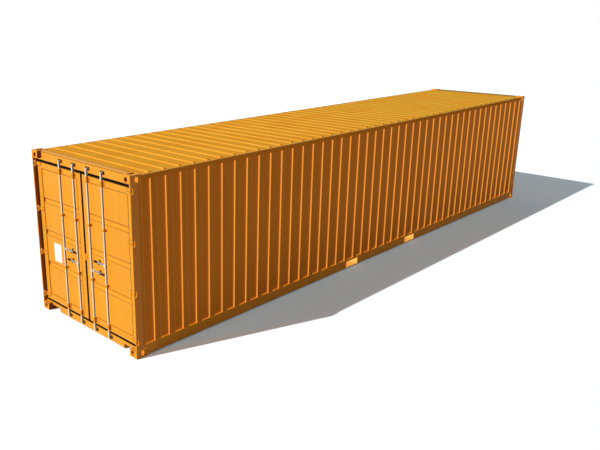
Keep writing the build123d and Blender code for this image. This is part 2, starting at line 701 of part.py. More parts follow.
def door_frame():
    """Hollow stiles and rails of the +X door."""
    front = dy(LEAF_DEPTH)
    rear = dy(LEAF_DEPTH + LEAF_THICK)
    t = LEAF_STEEL
    a = LEAF_INNER + INNER_STILE
    b = LEAF_OUTER - OUTER_STILE
    frame = block(LEAF_INNER, LEAF_OUTER, front, rear, LEAF_LOW, LEAF_TOP)
    low = LEAF_LOW + LEAF_LOW_RAIL
    top = LEAF_TOP - LEAF_TOP_RAIL
    frame -= block(a, b, front, rear, low, top)
    frame -= block(LEAF_INNER + t, a - t, front + t, rear - t, LEAF_LOW + t, LEAF_TOP - t)
    frame -= block(b + t, LEAF_OUTER - t, front + t, rear - t, LEAF_LOW + t, LEAF_TOP - t)
    frame -= block(a, b, front + t, rear - t, LEAF_LOW + t, low - t)
    frame -= block(a, b, front + t, rear - t, top + t, LEAF_TOP - t)
    return frame


def door_panel():
    """Sheet of the +X door with three pressed bands."""
    near = dy(LEAF_DEPTH + PANEL_RECESS)
    far = near + BAND_DEPTH
    line = [(near, LEAF_TOP - LEAF_TOP_RAIL)]
    for z in reversed(PANEL_BANDS):
        line.append((near, z + BAND_H / 2))
        line.append((far, z + BAND_FLAT / 2))
        line.append((far, z - BAND_FLAT / 2))
        line.append((near, z - BAND_H / 2))
    line.append((near, LEAF_LOW + LEAF_LOW_RAIL))
    return prism_x(folded_sheet(line), LEAF_INNER + INNER_STILE, LEAF_OUTER - OUTER_STILE)


def door_gasket():
    """Rubber strip round the edge of the +X door."""
    ring = block(LEAF_INNER - GASKET_INNER_LIP, LEAF_OUTER + GASKET_LIP, dy(GASKET_FRONT),
                 dy(GASKET_BACK), LEAF_LOW - GASKET_END_LIP, LEAF_TOP + GASKET_END_LIP)
    return ring - block(LEAF_INNER, LEAF_OUTER, dy(GASKET_FRONT), dy(GASKET_BACK),
                        LEAF_LOW, LEAF_TOP)


def bar_bracket(x, z, tall, foot_depth):
    """Saddle that holds a lock bar against the door."""
    y = dy(BAR_DEPTH)
    foot = dy(foot_depth)
    z0 = z - tall / 2
    z1 = z + tall / 2
    saddle = rod_z(x, y, BRACKET_R, z0, z1)
    saddle += block(x - BRACKET_R, x + BRACKET_R, y, foot, z0, z1)
    saddle += block(x - BRACKET_FOOT, x + BRACKET_FOOT, foot - BRACKET_FOOT_THICK, foot,
                    z0, z1)
    saddle -= block(x - BRACKET_R, x + BRACKET_R, foot, foot + BRACKET_R, z0, z1)
    return saddle - rod_z(x, y, BAR_R + BRACKET_PLAY, z0 - 1, z1 + 1)


def bar_brackets(bars):
    """All saddles of one door."""
    saddles = []
    for x in bars:
        for z in END_BRACKETS:
            saddles.append(bar_bracket(x, z, BRACKET_TALL, LEAF_DEPTH))
        for z in GUIDES:
            saddles.append(bar_bracket(x, z, GUIDE_TALL, LEAF_DEPTH + PANEL_RECESS))
    return saddles


def lock_bar(x, side, handle_z):
    """Tube with a cam at each end and a forked hub for its handle."""
    y = dy(BAR_DEPTH)
    nose = side * CAM_NOSE_R
    bar = rod_z(x, y, BAR_R, BAR_LOW, BAR_TOP)
    for z0, z1, n0 in ((CAM_TOP_START, BAR_TOP, BAR_TOP - CAM_NOSE_H),
                       (BAR_LOW, CAM_LOW_END, BAR_LOW)):
        bar += rod_z(x, y, CAM_R, z0, z1)
        points = [(x, y - CAM_HALF), (x + nose * CAM_FRONT_SHARE, y - CAM_SHOULDER),
                  (x + nose, y - CAM_TIP_FRONT), (x + nose, y + CAM_TIP_BACK),
                  (x + nose * CAM_BACK_SHARE, y + CAM_SHOULDER), (x, y + CAM_HALF)]
        bar += prism_z(points, n0, n0 + CAM_NOSE_H)
    bar += rod_z(x, y, HUB_R, handle_z - HUB_TALL / 2, handle_z + HUB_TALL / 2)
    arm = dy(HANDLE_DEPTH)
    gap = HANDLE_THICK / 2 + CHEEK_PLAY
    out = gap + CHEEK_THICK
    clear = CHEEK_R + 1
    cheek = block(x, x + side * PIVOT_OFFSET, arm - out, arm + out,
                  handle_z - CHEEK_R, handle_z + CHEEK_R)
    cheek += rod_y(x + side * PIVOT_OFFSET, handle_z, CHEEK_R, arm - out, arm + out)
    cheek -= block(x + side * CHEEK_SLOT_START, x + side * (PIVOT_OFFSET + clear),
                   arm - gap, arm + gap, handle_z - clear, handle_z + clear)
    bar += cheek
    bar += rod_y(x + side * PIVOT_OFFSET, handle_z, PIN_R, arm - out, arm + out)
    return bar - rod_z(x, y, BAR_R - BAR_WALL, BAR_LOW - 1, BAR_TOP + 1)


def handle(x, side, z):
    """Flat lever with a thicker hand grip."""
    y = dy(HANDLE_DEPTH)
    t = HANDLE_THICK / 2
    g = GRIP_THICK / 2
    pivot = x + side * PIVOT_OFFSET
    r = HANDLE_BAR / 2
    lever = rod_y(pivot, z, r, y - t, y + t)
    lever += block(pivot, x + side * GRIP_START, y - t, y + t, z - r, z + r)
    lever += block(x + side * GRIP_START, x + side * (GRIP_END - r), y - g, y + g, z - r, z + r)
    lever += rod_y(x + side * (GRIP_END - r), z, r, y - g, y + g)
    return lever - rod_y(pivot, z, PIN_R + PIN_PLAY, y - t - 1, y + t + 1)


def handle_catch(x, side, z):
    """Back plate with a shelf below the lever and a hasp behind it."""
    c = x + side * CATCH_OFFSET
    face = dy(LEAF_DEPTH + PANEL_RECESS)
    back = face - CATCH_PLATE
    front = dy(HANDLE_DEPTH - CATCH_REACH)
    shelf = z - HANDLE_BAR / 2 - SHELF_CLEAR
    catch = block(c - CATCH_W / 2, c + CATCH_W / 2, back, face,
                  z - CATCH_UNDER, z + CATCH_OVER)
    catch += block(c - SHELF_W / 2, c + SHELF_W / 2, front, back, shelf - SHELF_THICK, shelf)
    catch += block(c - SHELF_W / 2, c + SHELF_W / 2, front, front + SHELF_THICK,
                   shelf - 2 * SHELF_THICK, shelf)
    catch += block(c - HASP_W / 2, c + HASP_W / 2, back - HASP_THICK, back,
                   z + HASP_START, z + HASP_END)
    return catch


def keeper_prongs(x, z):
    """Two horns beside a cam, open towards the front."""
    prongs = []
    face = dy(FACE_DEPTH)
    front = face - KEEPER_REACH
    for side in (-1, 1):
        a = x + side * KEEPER_GAP
        b = x + side * (KEEPER_GAP + KEEPER_THICK)
        c = b + side * KEEPER_FOOT_LEDGE
        points = [(a, face), (a, front + KEEPER_TIP), (a + side * KEEPER_TIP_SLANT, front),
                  (b, front), (b, face - KEEPER_FOOT), (c, face - KEEPER_FOOT), (c, face)]
        prongs.append(prism_z(points, z - KEEPER_H / 2, z + KEEPER_H / 2))
    return prongs


def seal_lug():
    """Half of the eight-sided plate at the meeting edge, +X door."""
    z = SEAL_Z
    h = SEAL_HALF
    c = h - SEAL_CORNER
    points = [(SEAL_GAP, z - h), (c, z - h), (h, z - c), (h, z + c), (c, z + h),
              (SEAL_GAP, z + h)]
    return prism_y(points, dy(LEAF_DEPTH - SEAL_THICK), dy(LEAF_DEPTH))


os.makedirs("parts", exist_ok=True)

casting = corner_casting()
low_castings = [casting, across(casting)]
low_castings += [mirror(c, about=Plane.XZ) for c in low_castings]
high_castings = [Pos(0, 0, HEIGHT) * mirror(c, about=Plane.XY) for c in low_castings]
save("corner_castings_bottom", *low_castings)
save("corner_castings_top", *high_castings)

post = rear_post()
save("rear_post_right", post)
save("rear_post_left", across(post))
post = front_post()
save("front_posts", post, across(post))
save("door_header", door_header())
save("door_sill", door_sill())
save("front_header", front_beam(UNDER_CASTING, FRAME_TOP))
save("front_sill", front_sill())
rail = bottom_rail()
save("bottom_rails", rail, across(rail))
rail = top_rail()
save("top_rails", rail, across(rail))
wall = side_wall()
save("side_wall_right", wall)
save("side_wall_left", across(wall))
save("front_wall", front_wall())
save("roof", roof())
save("floor_boards", *floor_boards())
save("cross_members", *cross_members())
save("fork_pockets", *fork_pockets())

keepers = []
for bar_x in BAR_X:
    keepers += keeper_prongs(bar_x, BAR_TOP - KEEPER_INSET)
    keepers += keeper_prongs(bar_x, BAR_LOW + KEEPER_INSET)
save("cam_keepers", *keepers)
lugs = hinge_lugs()
save("hinge_lugs", *lugs, *[across(lug) for lug in lugs])
pins = hinge_pins()
save("hinge_pins", *pins, *[across(pin) for pin in pins])

pieces = {
    "frame": [door_frame()],
    "panel": [door_panel()],
    "gasket": [door_gasket()],
    "hinge_blades": hinge_blades(),
    "bar_brackets": bar_brackets(BAR_X[2:]),
    "handle_catches": [handle_catch(BAR_X[i], BAR_SIDE[i], HANDLE_HEIGHTS[i]) for i in (2, 3)],
    "seal_lug": [seal_lug()],
}
for name, shapes in pieces.items():
    save("right_door_" + name, *shapes)
    save("left_door_" + name, *[across(s) for s in shapes])

save("data_plate", block(PLATE_X - PLATE_W / 2, PLATE_X + PLATE_W / 2,
                         dy(LEAF_DEPTH + PANEL_RECESS - PLATE_THICK),
                         dy(LEAF_DEPTH + PANEL_RECESS),
                         PLATE_Z - PLATE_H / 2, PLATE_Z + PLATE_H / 2))

for i in range(4):
    number = str(i + 1)
    save("lock_bar_" + number, lock_bar(BAR_X[i], BAR_SIDE[i], HANDLE_HEIGHTS[i]))
    save("handle_" + number, handle(BAR_X[i], BAR_SIDE[i], HANDLE_HEIGHTS[i]))
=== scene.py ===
import json
import math

import bmesh
import bpy
from mathutils import Matrix, Vector


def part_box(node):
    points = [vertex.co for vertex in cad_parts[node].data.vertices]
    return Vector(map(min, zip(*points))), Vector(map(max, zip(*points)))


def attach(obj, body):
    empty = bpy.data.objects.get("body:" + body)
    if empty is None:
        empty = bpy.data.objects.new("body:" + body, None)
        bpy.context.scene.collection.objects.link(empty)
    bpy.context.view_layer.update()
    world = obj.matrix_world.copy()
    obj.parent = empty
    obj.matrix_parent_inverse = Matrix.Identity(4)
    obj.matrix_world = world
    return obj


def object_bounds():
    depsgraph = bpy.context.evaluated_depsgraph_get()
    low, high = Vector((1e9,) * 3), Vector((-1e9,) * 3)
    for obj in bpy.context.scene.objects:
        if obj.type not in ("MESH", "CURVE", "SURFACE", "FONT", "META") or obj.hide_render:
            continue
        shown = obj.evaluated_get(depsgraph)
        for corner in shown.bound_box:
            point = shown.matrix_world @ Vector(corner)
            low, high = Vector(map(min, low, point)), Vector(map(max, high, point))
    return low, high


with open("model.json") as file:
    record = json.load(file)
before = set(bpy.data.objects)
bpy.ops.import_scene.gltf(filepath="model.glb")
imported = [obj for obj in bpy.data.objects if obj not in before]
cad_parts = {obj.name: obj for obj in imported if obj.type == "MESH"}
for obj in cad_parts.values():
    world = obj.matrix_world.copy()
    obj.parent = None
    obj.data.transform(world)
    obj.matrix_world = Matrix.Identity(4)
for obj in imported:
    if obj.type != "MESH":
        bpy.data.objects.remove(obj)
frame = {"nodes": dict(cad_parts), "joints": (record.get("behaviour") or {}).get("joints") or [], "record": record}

CAD_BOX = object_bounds()
NODES = frame["nodes"]
SCENE = bpy.context.scene
SCENE.view_settings.view_transform = "Standard"
SIDES = {"left": -1, "right": 1}
BARS = (1, 2, 3, 4)
HALF_LENGTH = CAD_BOX[1][1]
HALF_WIDTH = CAD_BOX[1][0]
OUT = Vector((0, -1, 0))
UP = Vector((0, 0, 1))
SAME = 0.0001
ON_FACE = 0.0002
NEAR = 0.0005


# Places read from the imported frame
def islands(node):
    """Boxes of the separate solids of a CAD node, sorted by place."""
    mesh = NODES[node].data
    leader = {}

    def find(key):
        while leader[key] != key:
            leader[key] = leader[leader[key]]
            key = leader[key]
        return key

    spot = [tuple(round(c, 5) for c in v.co) for v in mesh.vertices]
    for key in spot:
        leader.setdefault(key, key)
    for face in mesh.polygons:
        first = find(spot[face.vertices[0]])
        for index in face.vertices[1:]:
            leader[find(spot[index])] = first
    groups = {}
    for key in leader:
        groups.setdefault(find(key), []).append(key)
    boxes = []
    for keys in groups.values():
        low = Vector([min(k[i] for k in keys) for i in range(3)])
        high = Vector([max(k[i] for k in keys) for i in range(3)])
        boxes.append((low, high))
    return sorted(boxes, key=lambda b: tuple(b[0]))


def joint_place(name):
    """Place of a joint in the shared frame."""
    joint = next(j for j in frame["joints"] if j["name"] == name)
    return Vector(joint["pos_m"])


BAR_AXIS = {n: joint_place("lock_bar_%d_turn" % n) for n in BARS}
HANDLE_PIVOT = {n: joint_place("handle_%d_lift" % n) for n in BARS}
DOOR_OF = {n: "left" if n < 3 else "right" for n in BARS}
LEAF = {side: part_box(side + "_door_frame") for side in SIDES}
LEAF_FACE = LEAF["right"][0].y
PANEL_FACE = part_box("right_door_panel")[0].y


def nearest_axis(low, high):
    """Axis of the lock bar that stands nearest to the middle of a box."""
    return min(BAR_AXIS.values(), key=lambda axis: abs(axis.x - (low.x + high.x) / 2))


# Mesh helpers
SMOOTH_BELOW = {"smooth_round": 38, "smooth_folds": 26}
EDGE_ANGLE = 35
FOLD_ANGLE = 24
MERGE_REACH = 0.00001


def smooth_group(name):
    """Node group that shades a mesh smooth where its faces meet below an angle."""
    group = bpy.data.node_groups.new(name, "GeometryNodeTree")
    group.interface.new_socket("Geometry", in_out="INPUT", socket_type="NodeSocketGeometry")
    group.interface.new_socket("Geometry", in_out="OUTPUT", socket_type="NodeSocketGeometry")
    nodes = group.nodes
    start = nodes.new("NodeGroupInput")
    end = nodes.new("NodeGroupOutput")
    faces = nodes.new("GeometryNodeSetShadeSmooth")
    edges = nodes.new("GeometryNodeSetShadeSmooth")
    edges.domain = "EDGE"
    angle = nodes.new("GeometryNodeInputMeshEdgeAngle")
    flat = nodes.new("FunctionNodeCompare")
    flat.operation = "LESS_THAN"
    flat.inputs["B"].default_value = math.radians(SMOOTH_BELOW[name])
    group.links.new(start.outputs[0], faces.inputs["Geometry"])
    group.links.new(angle.outputs["Unsigned Angle"], flat.inputs["A"])
    group.links.new(flat.outputs["Result"], edges.inputs["Shade Smooth"])
    group.links.new(faces.outputs["Geometry"], edges.inputs["Geometry"])
    group.links.new(edges.outputs["Geometry"], end.inputs[0])
    return group


SMOOTH_ROUND = smooth_group("smooth_round")
SMOOTH_FOLDS = smooth_group("smooth_folds")


def soften(obj, width, folded=False):
    """Joins the split vertices of a mesh, rounds its edges and keeps its flats flat."""
    weld = obj.modifiers.new("join", "WELD")
    weld.merge_threshold = MERGE_REACH
    bevel = obj.modifiers.new("round", "BEVEL")
    bevel.width = width
    bevel.segments = 2
    bevel.limit_method = "ANGLE"
    bevel.angle_limit = math.radians(FOLD_ANGLE if folded else EDGE_ANGLE)
    bevel.use_clamp_overlap = True
    shade = obj.modifiers.new("shade", "NODES")
    shade.node_group = SMOOTH_FOLDS if folded else SMOOTH_ROUND
    even = obj.modifiers.new("even", "WEIGHTED_NORMAL")
    even.mode = "FACE_AREA"
    even.weight = 50
    even.keep_sharp = True


def piece(name, bm, body, slot, material=None):
    """Turns a bmesh into a piece on a body, in the slot's usual material unless one is given."""
    mesh = bpy.data.meshes.new(name)
    bmesh.ops.recalc_face_normals(bm, faces=bm.faces)
    bm.to_mesh(mesh)
    bm.free()
    obj = bpy.data.objects.new(name, mesh)
    SCENE.collection.objects.link(obj)
    mesh.materials.append(material or MATERIALS[slot])
    shade = obj.modifiers.new("shade", "NODES")
    shade.node_group = SMOOTH_ROUND
    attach(obj, body)


def facing_out(point):
    """Matrix that stands +Z on a point of the door end, pointing outwards."""
    return Matrix.Translation(point) @ OUT.to_track_quat("Z", "Y").to_matrix().to_4x4()


def frustum(bm, place, low, high, r1, r2, sides):
    """Tapered round solid on a placed Z axis."""
    middle = place @ Matrix.Translation((0, 0, (low + high) / 2))
    bmesh.ops.create_cone(bm, cap_ends=True, segments=sides, radius1=r1, radius2=r2,
                          depth=high - low, matrix=middle)


# A washer's height and two radii, then each step's two heights, two radii and sides. The
# heights and the radii are shares of the bolt head's radius.
DOME_HEAD = ((0.18, 1.35, 1.3), (0.1, 0.5, 1.0, 0.86, 18), (0.5, 0.72, 0.86, 0.45, 18))
HEX_HEAD = ((0.2, 1.4, 1.35), (0.1, 0.75, 1.0, 1.0, 6), (0.75, 0.9, 1.0, 0.82, 6))
WASHER_SINK = 0.001
WASHER_SIDES = 18


def bolt(bm, point, radius, head=DOME_HEAD):
    """Bolt head on a thin washer."""
    place = facing_out(point)
    washer, *steps = head
    high, r1, r2 = (radius * share for share in washer)
    frustum(bm, place, -WASHER_SINK, high, r1, r2, WASHER_SIDES)
    for *shares, sides in steps:
        frustum(bm, place, *(radius * share for share in shares), sides)


def block(bm, low, high):
    """Box between two corners."""
    low = Vector(low)
    high = Vector(high)
    size = high - low
    place = Matrix.Translation((low + high) / 2) @ Matrix.Diagonal((*size, 1.0))
    bmesh.ops.create_cube(bm, size=1.0, matrix=place)


def ring_loft(bm, rings, closed=False):
    """Skin over rings of as many points each, capped unless closed."""
    rows = [[bm.verts.new(p) for p in ring] for ring in rings]
    count = len(rows[0])
    pairs = list(zip(rows, rows[1:]))
    if closed:
        pairs.append((rows[-1], rows[0]))
    for a, b in pairs:
        for i in range(count):
            j = (i + 1) % count
            bm.faces.new((a[i], a[j], b[j], b[i]))
    if not closed:
        bm.faces.new(rows[0][::-1])
        bm.faces.new(rows[-1])


COLLAR_EASE = 0.0008
COLLAR_SIDES = 40


def collar(bm, centre, r_in, r_out, low, high):
    """Upright ring with rounded outer corners."""
    ease = min(COLLAR_EASE, (r_out - r_in) / 3)
    section = [(r_in, low), (r_out - ease, low), (r_out, low + ease),
               (r_out, high - ease), (r_out - ease, high), (r_in, high)]
    rings = []
    for i in range(COLLAR_SIDES):
        turn = 2 * math.pi * i / COLLAR_SIDES
        rings.append([(centre.x + r * math.cos(turn), centre.y + r * math.sin(turn), z)
                      for r, z in section])
    ring_loft(bm, rings, closed=True)


BEAD_POINTS = 5
BEAD_HEIGHT = 0.7
WELD_STEP = 0.009
WELD_RIPPLE = 0.78
SEAM_STEP = 0.05


def bead(bm, path, normal, radius, step=WELD_STEP, ripple=WELD_RIPPLE):
    """Half-round bead laid along a path on a surface, rippled like a weld."""
    rings = []
    normal = Vector(normal).normalized()
    for a, b in zip(path, path[1:]):
        a = Vector(a)
        b = Vector(b)
        along = (b - a).normalized()
        across = along.cross(normal).normalized()
        count = max(2, int((b - a).length / step))
        for i in range(count + 1):
            if i == 0 and rings:
                continue
            place = a.lerp(b, i / count)
            r = radius * (1.0 if len(rings) % 2 else ripple)
            ring = []
            for k in range(BEAD_POINTS):
                turn = math.pi * k / (BEAD_POINTS - 1)
                rise = normal * r * BEAD_HEIGHT * math.sin(turn)
                ring.append(place + across * r * math.cos(turn) + rise)
            rings.append(ring)
    ring_loft(bm, rings)


def seam(bm, path, normal, radius, step=SEAM_STEP):
    """Even bead of sealant or rubber."""
    bead(bm, path, normal, radius, step, ripple=1.0)


# Materials
class Paint:
    """A material under construction."""

    def __init__(self, name):
        self.material = bpy.data.materials.new(name)
        self.material.use_nodes = True
        self.tree = self.material.node_tree
        self.shader = self.tree.nodes["Principled BSDF"]
        self.place = self.node("ShaderNodeTexCoord").outputs["Object"]

    def node(self, kind, **settings):
        """New node with its settings."""
        made = self.tree.nodes.new(kind)
        for key, value in settings.items():
            setattr(made, key, value)
        return made

    def feed(self, socket, value):
        """Joins an output to a socket, or sets a plain value on it."""
        if isinstance(value, bpy.types.NodeSocket):
            self.tree.links.new(value, socket)
        else:
            socket.default_value = value

    def noise(self, scale, detail=3.0, rough=0.5, stretch=(1, 1, 1)):
        """Fractal noise around 0.5, in object coordinates scaled along the three axes."""
        mapping = self.node("ShaderNodeMapping")
        self.feed(mapping.inputs["Vector"], self.place)
        mapping.inputs["Scale"].default_value = stretch
        noise = self.node("ShaderNodeTexNoise")
        self.feed(noise.inputs["Vector"], mapping.outputs[0])
        noise.inputs["Scale"].default_value = scale
        noise.inputs["Detail"].default_value = detail
        noise.inputs["Roughness"].default_value = rough
        return noise.outputs["Fac"]

    def band(self, value, low, high, out_low=0.0, out_high=1.0):
        """Maps a value from one range to another, clamped and eased."""
        span = self.node("ShaderNodeMapRange", interpolation_type="SMOOTHSTEP")
        self.feed(span.inputs["Value"], value)
        for name, number in (("From Min", low), ("From Max", high),
                             ("To Min", out_low), ("To Max", out_high)):
            span.inputs[name].default_value = number
        return span.outputs["Result"]

    def maths(self, operation, a, b=0.0):
        """Result of one sum."""
        node = self.node("ShaderNodeMath", operation=operation)
        self.feed(node.inputs[0], a)
        self.feed(node.inputs[1], b)
        return node.outputs[0]

    def blend(self, factor, a, b):
        """Mixes two colours."""
        node = self.node("ShaderNodeMix", data_type="RGBA")
        self.feed(node.inputs["Factor"], factor)
        for socket, value in ((node.inputs["A"], a), (node.inputs["B"], b)):
            if isinstance(value, tuple):
                value = (*value, 1.0)
            self.feed(socket, value)
        return node.outputs["Result"]

    def cover(self, base, mask, share, tone):
        """Lays a share of a tone over a base where a mask is 1."""
        return self.blend(self.maths("MULTIPLY", mask, share), base, tone)

    def split(self, vector=None):
        """X, Y and Z of a vector, or of the place."""
        node = self.node("ShaderNodeSeparateXYZ")
        self.feed(node.inputs[0], vector or self.place)
        return node.outputs

    def normal(self, kind="True Normal"):
        """X, Y and Z of a face's normal."""
        return self.split(self.node("ShaderNodeNewGeometry").outputs[kind])

    def facing_up(self):
        """1 on level faces that look up, 0 on walls, by the smooth normal."""
        return self.band(self.normal("Normal")["Z"], 0.55, 0.95)

    def facing_sideways(self, start=0.86, full=0.97):
        """1 on walls that look along the X axis."""
        return self.band(self.maths("ABSOLUTE", self.normal()["X"]), start, full)

    def facing_door_end(self):
        """1 on walls that look at the door end."""
        return self.band(self.normal()["Y"], -0.9, -0.5, 1.0, 0.0)

    def bump(self, height, distance, under=None):
        """Bump that can lie over another bump."""
        node = self.node("ShaderNodeBump")
        node.inputs["Strength"].default_value = 1.0
        node.inputs["Distance"].default_value = distance
        self.feed(node.inputs["Height"], height)
        if under:
            self.feed(node.inputs["Normal"], under)
        return node.outputs["Normal"]

    def finish(self, colour, roughness, normal, metallic=0.0, specular=0.5):
        """Joins the results to the shader."""
        self.feed(self.shader.inputs["Base Color"], colour)
        self.feed(self.shader.inputs["Roughness"], roughness)
        self.feed(self.shader.inputs["Normal"], normal)
        self.shader.inputs["Metallic"].default_value = metallic
        self.shader.inputs["Specular IOR Level"].default_value = specular
        return self.material


def shade_of(colour, factor):
    """A colour made lighter or darker."""
    return tuple(min(1.0, c * factor) for c in colour)


# Colours matched to the photo, in linear light
DOOR_ORANGE = (0.95, 0.376, 0.0090)
# Painted shade: a darker tone for the doors' faces that look sideways.
DOOR_SIDE = (0.55, 0.14, 0.006)
# Painted shade: a darker, redder tone for faces that look sideways.
SIDE_ORANGE = (0.93, 0.285, 0.021)
# Painted light: a lighter tone for the sheets' faces that do not look sideways, the side walls' slopes among them.
SLOPE_ORANGE = (0.97, 0.40, 0.065)
# Painted light: a lighter tone for the roof and for faces that look up.
ROOF_ORANGE = (1.0, 0.455, 0.040)
# Painted shade: the roof darkens towards its far end.
ROOF_FAR = (0.74, 0.385, 0.038)
# Painted shade on the roof's ridge ends, which look sideways.
ROOF_ENDS = (0.30, 0.075, 0.006)
# Painted highlight: a pale tone for the beads along the roof's edges.
EDGE_HIGHLIGHT = (1.0, 0.60, 0.20)
# Painted light: a pale tone on the hinge lugs' sideways faces.
LUG_SIDE = (1.0, 0.68, 0.30)
# Painted shade: a dark tone on the saddles' sideways faces.
SADDLE_SIDE = (0.34, 0.085, 0.008)
# Painted light: a pale tone for the inside of the forklift pockets.
POCKET_ORANGE = (1.0, 0.56, 0.13)
POCKET_SHADE = (0.20, 0.030, 0.001)
POST_SHADE = (0.34, 0.085, 0.004)
# Painted shade: a dark tone for the front header's top and its face towards the door end.
HEADER_TOP = (0.22, 0.11, 0.016)
# Painted light: the bottom rails' sideways faces are lighter to offset their shade near the floor.
LOW_RAIL_SIDE = (1.0, 0.36, 0.018)

# Weathering and the other finishes
PAINT_PATCH = (0.90, 0.24, 0.012)
PAINT_FADE = (0.30, 0.10, 0.01)
PAINT_GRIME = (0.22, 0.085, 0.02)
PAINT_SPLASH = (0.22, 0.10, 0.035)
PAINT_CLOUD = (0.34, 0.17, 0.03)
SPLASH_HEIGHT = 0.55
CAST_GRIME = (0.30, 0.11, 0.02)
CAST_CHIP = (0.19, 0.085, 0.04)
ZINC_STAIN = (0.36, 0.22, 0.12)
STEEL_DARK = (0.085, 0.036, 0.010)
STEEL_WORN = (0.17, 0.075, 0.020)
# Seam colours: old sealant at joints, and painted shade lines along the bands and the header's edges.
SEAM_BROWN = (0.23, 0.072, 0.008)
SEAM_DARKER = (0.12, 0.040, 0.006)
PLY_DARK = (0.20, 0.098, 0.042)
PLY_LIGHT = (0.43, 0.245, 0.118)
PLY_PORE = (0.10, 0.045, 0.02)
PLY_SCUFF = (0.30, 0.225, 0.16)
PLATE_CLEAN = (1.0, 0.995, 0.96)
PLATE_HAZE = (0.82, 0.79, 0.68)
PLATE_STREAK = (0.70, 0.60, 0.44)


def enamel(name, colour, side_colour=None, top_colour=None, far_colour=None, inner_colour=None,
           gloss=0.28, patches=0.0):
    """Sprayed container paint: slow fade, rain streaks, grime spots and orange peel, with tones by facing and
    along the length that are painted light and shade.
    """
    p = Paint(name)
    tint = colour
    # Painted shade: the far end takes a darker tone.
    if far_colour:
        along = p.band(p.split()["Y"], -HALF_LENGTH, HALF_LENGTH)
        tint = p.blend(along, tint, far_colour)
    # Painted light and shade: faces that look sideways, at the door end or up take their own tones.
    if side_colour:
        tint = p.blend(p.facing_sideways(), tint, side_colour)
    if inner_colour:
        tint = p.blend(p.facing_door_end(), tint, inner_colour)
    if top_colour:
        tint = p.blend(p.facing_up(), tint, top_colour)
    if patches:
        patch = p.band(p.noise(0.8, 4.0, 0.6, (2.2, 1.0, 1.0)), 0.46, 0.62, 0.0, patches)
        tint = p.blend(patch, tint, PAINT_PATCH)
    fade = p.band(p.noise(0.9, 4.0), 0.25, 0.75)
    base = p.cover(tint, fade, 0.07, PAINT_FADE)
    mottle = p.band(p.noise(17.0, 5.0, 0.62), 0.35, 0.72)
    base = p.cover(base, mottle, 0.05, PAINT_GRIME)
    streak = p.band(p.noise(1.0, 3.0, 0.55, (26.0, 26.0, 0.7)), 0.54, 0.80)
    base = p.cover(base, streak, 0.09, PAINT_GRIME)
    spots = p.band(p.noise(85.0, 2.0, 0.5), 0.69, 0.77)
    base = p.cover(base, spots, 0.40, PAINT_GRIME)
    low = p.band(p.split()["Z"], 0.0, SPLASH_HEIGHT, 1.0, 0.0)
    splash = p.maths("MULTIPLY", low, p.band(p.noise(7.0, 6.0, 0.65), 0.42, 0.75))
    base = p.cover(base, splash, 0.16, PAINT_SPLASH)
    if top_colour:
        cloud = p.maths("MULTIPLY", p.facing_up(), p.band(p.noise(2.6, 6.0, 0.6), 0.38, 0.70))
        base = p.cover(base, cloud, 0.10, PAINT_CLOUD)
    rough = p.band(p.noise(9.0, 5.0, 0.6), 0.3, 0.7, 0.46, 0.60)
    waves = p.bump(p.noise(3.2, 2.0), 0.0016)
    peel = p.bump(p.noise(420.0, 2.0), 0.00012, waves)
    return p.finish(base, rough, peel, specular=gloss)


def cast_paint(name, colour, side_colour):
    """Paint over the rough skin of a steel casting, with painted shade on its faces that look sideways and darker
    painted shade inside its side holes.
    """
    p = Paint(name)
    # Painted shade on faces that look sideways, darker inside the holes.
    tint = p.blend(p.facing_sideways(), colour, side_colour)
    across = p.maths("ABSOLUTE", p.split()["X"])
    within = p.band(across, HALF_WIDTH - 0.010, HALF_WIDTH - 0.004, 1.0, 0.0)
    tint = p.blend(p.maths("MULTIPLY", within, p.facing_sideways()), tint, POCKET_SHADE)
    grime = p.band(p.noise(14.0, 6.0, 0.65), 0.38, 0.72)
    base = p.cover(tint, grime, 0.14, CAST_GRIME)
    chips = p.band(p.noise(48.0, 3.0, 0.55), 0.66, 0.71)
    base = p.cover(base, chips, 0.7, CAST_CHIP)
    rough = p.band(p.noise(40.0, 4.0), 0.3, 0.7, 0.50, 0.68)
    lumps = p.bump(p.noise(60.0, 4.0, 0.6), 0.0009)
    return p.finish(base, rough, p.bump(p.noise(520.0, 2.0), 0.00025, lumps), specular=0.3)


def galvanised(name, tone, warmth=1.0, side_shade=0.0):
    """Hot-dip zinc with spangle and a little white bloom, its sideways faces darkened as painted shade."""
    p = Paint(name)
    grains = p.node("ShaderNodeTexVoronoi")
    p.feed(grains.inputs["Vector"], p.place)
    grains.inputs["Scale"].default_value = 95.0
    grey = (tone, tone * warmth, tone * warmth ** 3)
    spangle = p.node("ShaderNodeSeparateColor")
    p.feed(spangle.inputs[0], grains.outputs["Color"])
    base = p.cover(grey, spangle.outputs[0], 0.16, shade_of(grey, 0.72))
    bloom = p.band(p.noise(11.0, 5.0, 0.6), 0.45, 0.75)
    base = p.cover(base, bloom, 0.30, shade_of(grey, 1.12))
    stain = p.band(p.noise(4.0, 5.0, 0.6, (5.0, 5.0, 1.0)), 0.60, 0.78)
    base = p.cover(base, stain, 0.22, ZINC_STAIN)
    # Painted shade: faces that look sideways are darkened.
    if side_shade:
        base = p.cover(base, p.facing_sideways(0.62, 0.90), side_shade, shade_of(grey, 0.16))
    rough = p.band(p.noise(30.0, 4.0), 0.3, 0.7, 0.48, 0.66)
    return p.finish(base, rough, p.bump(p.noise(210.0, 3.0), 0.00015), specular=0.12)


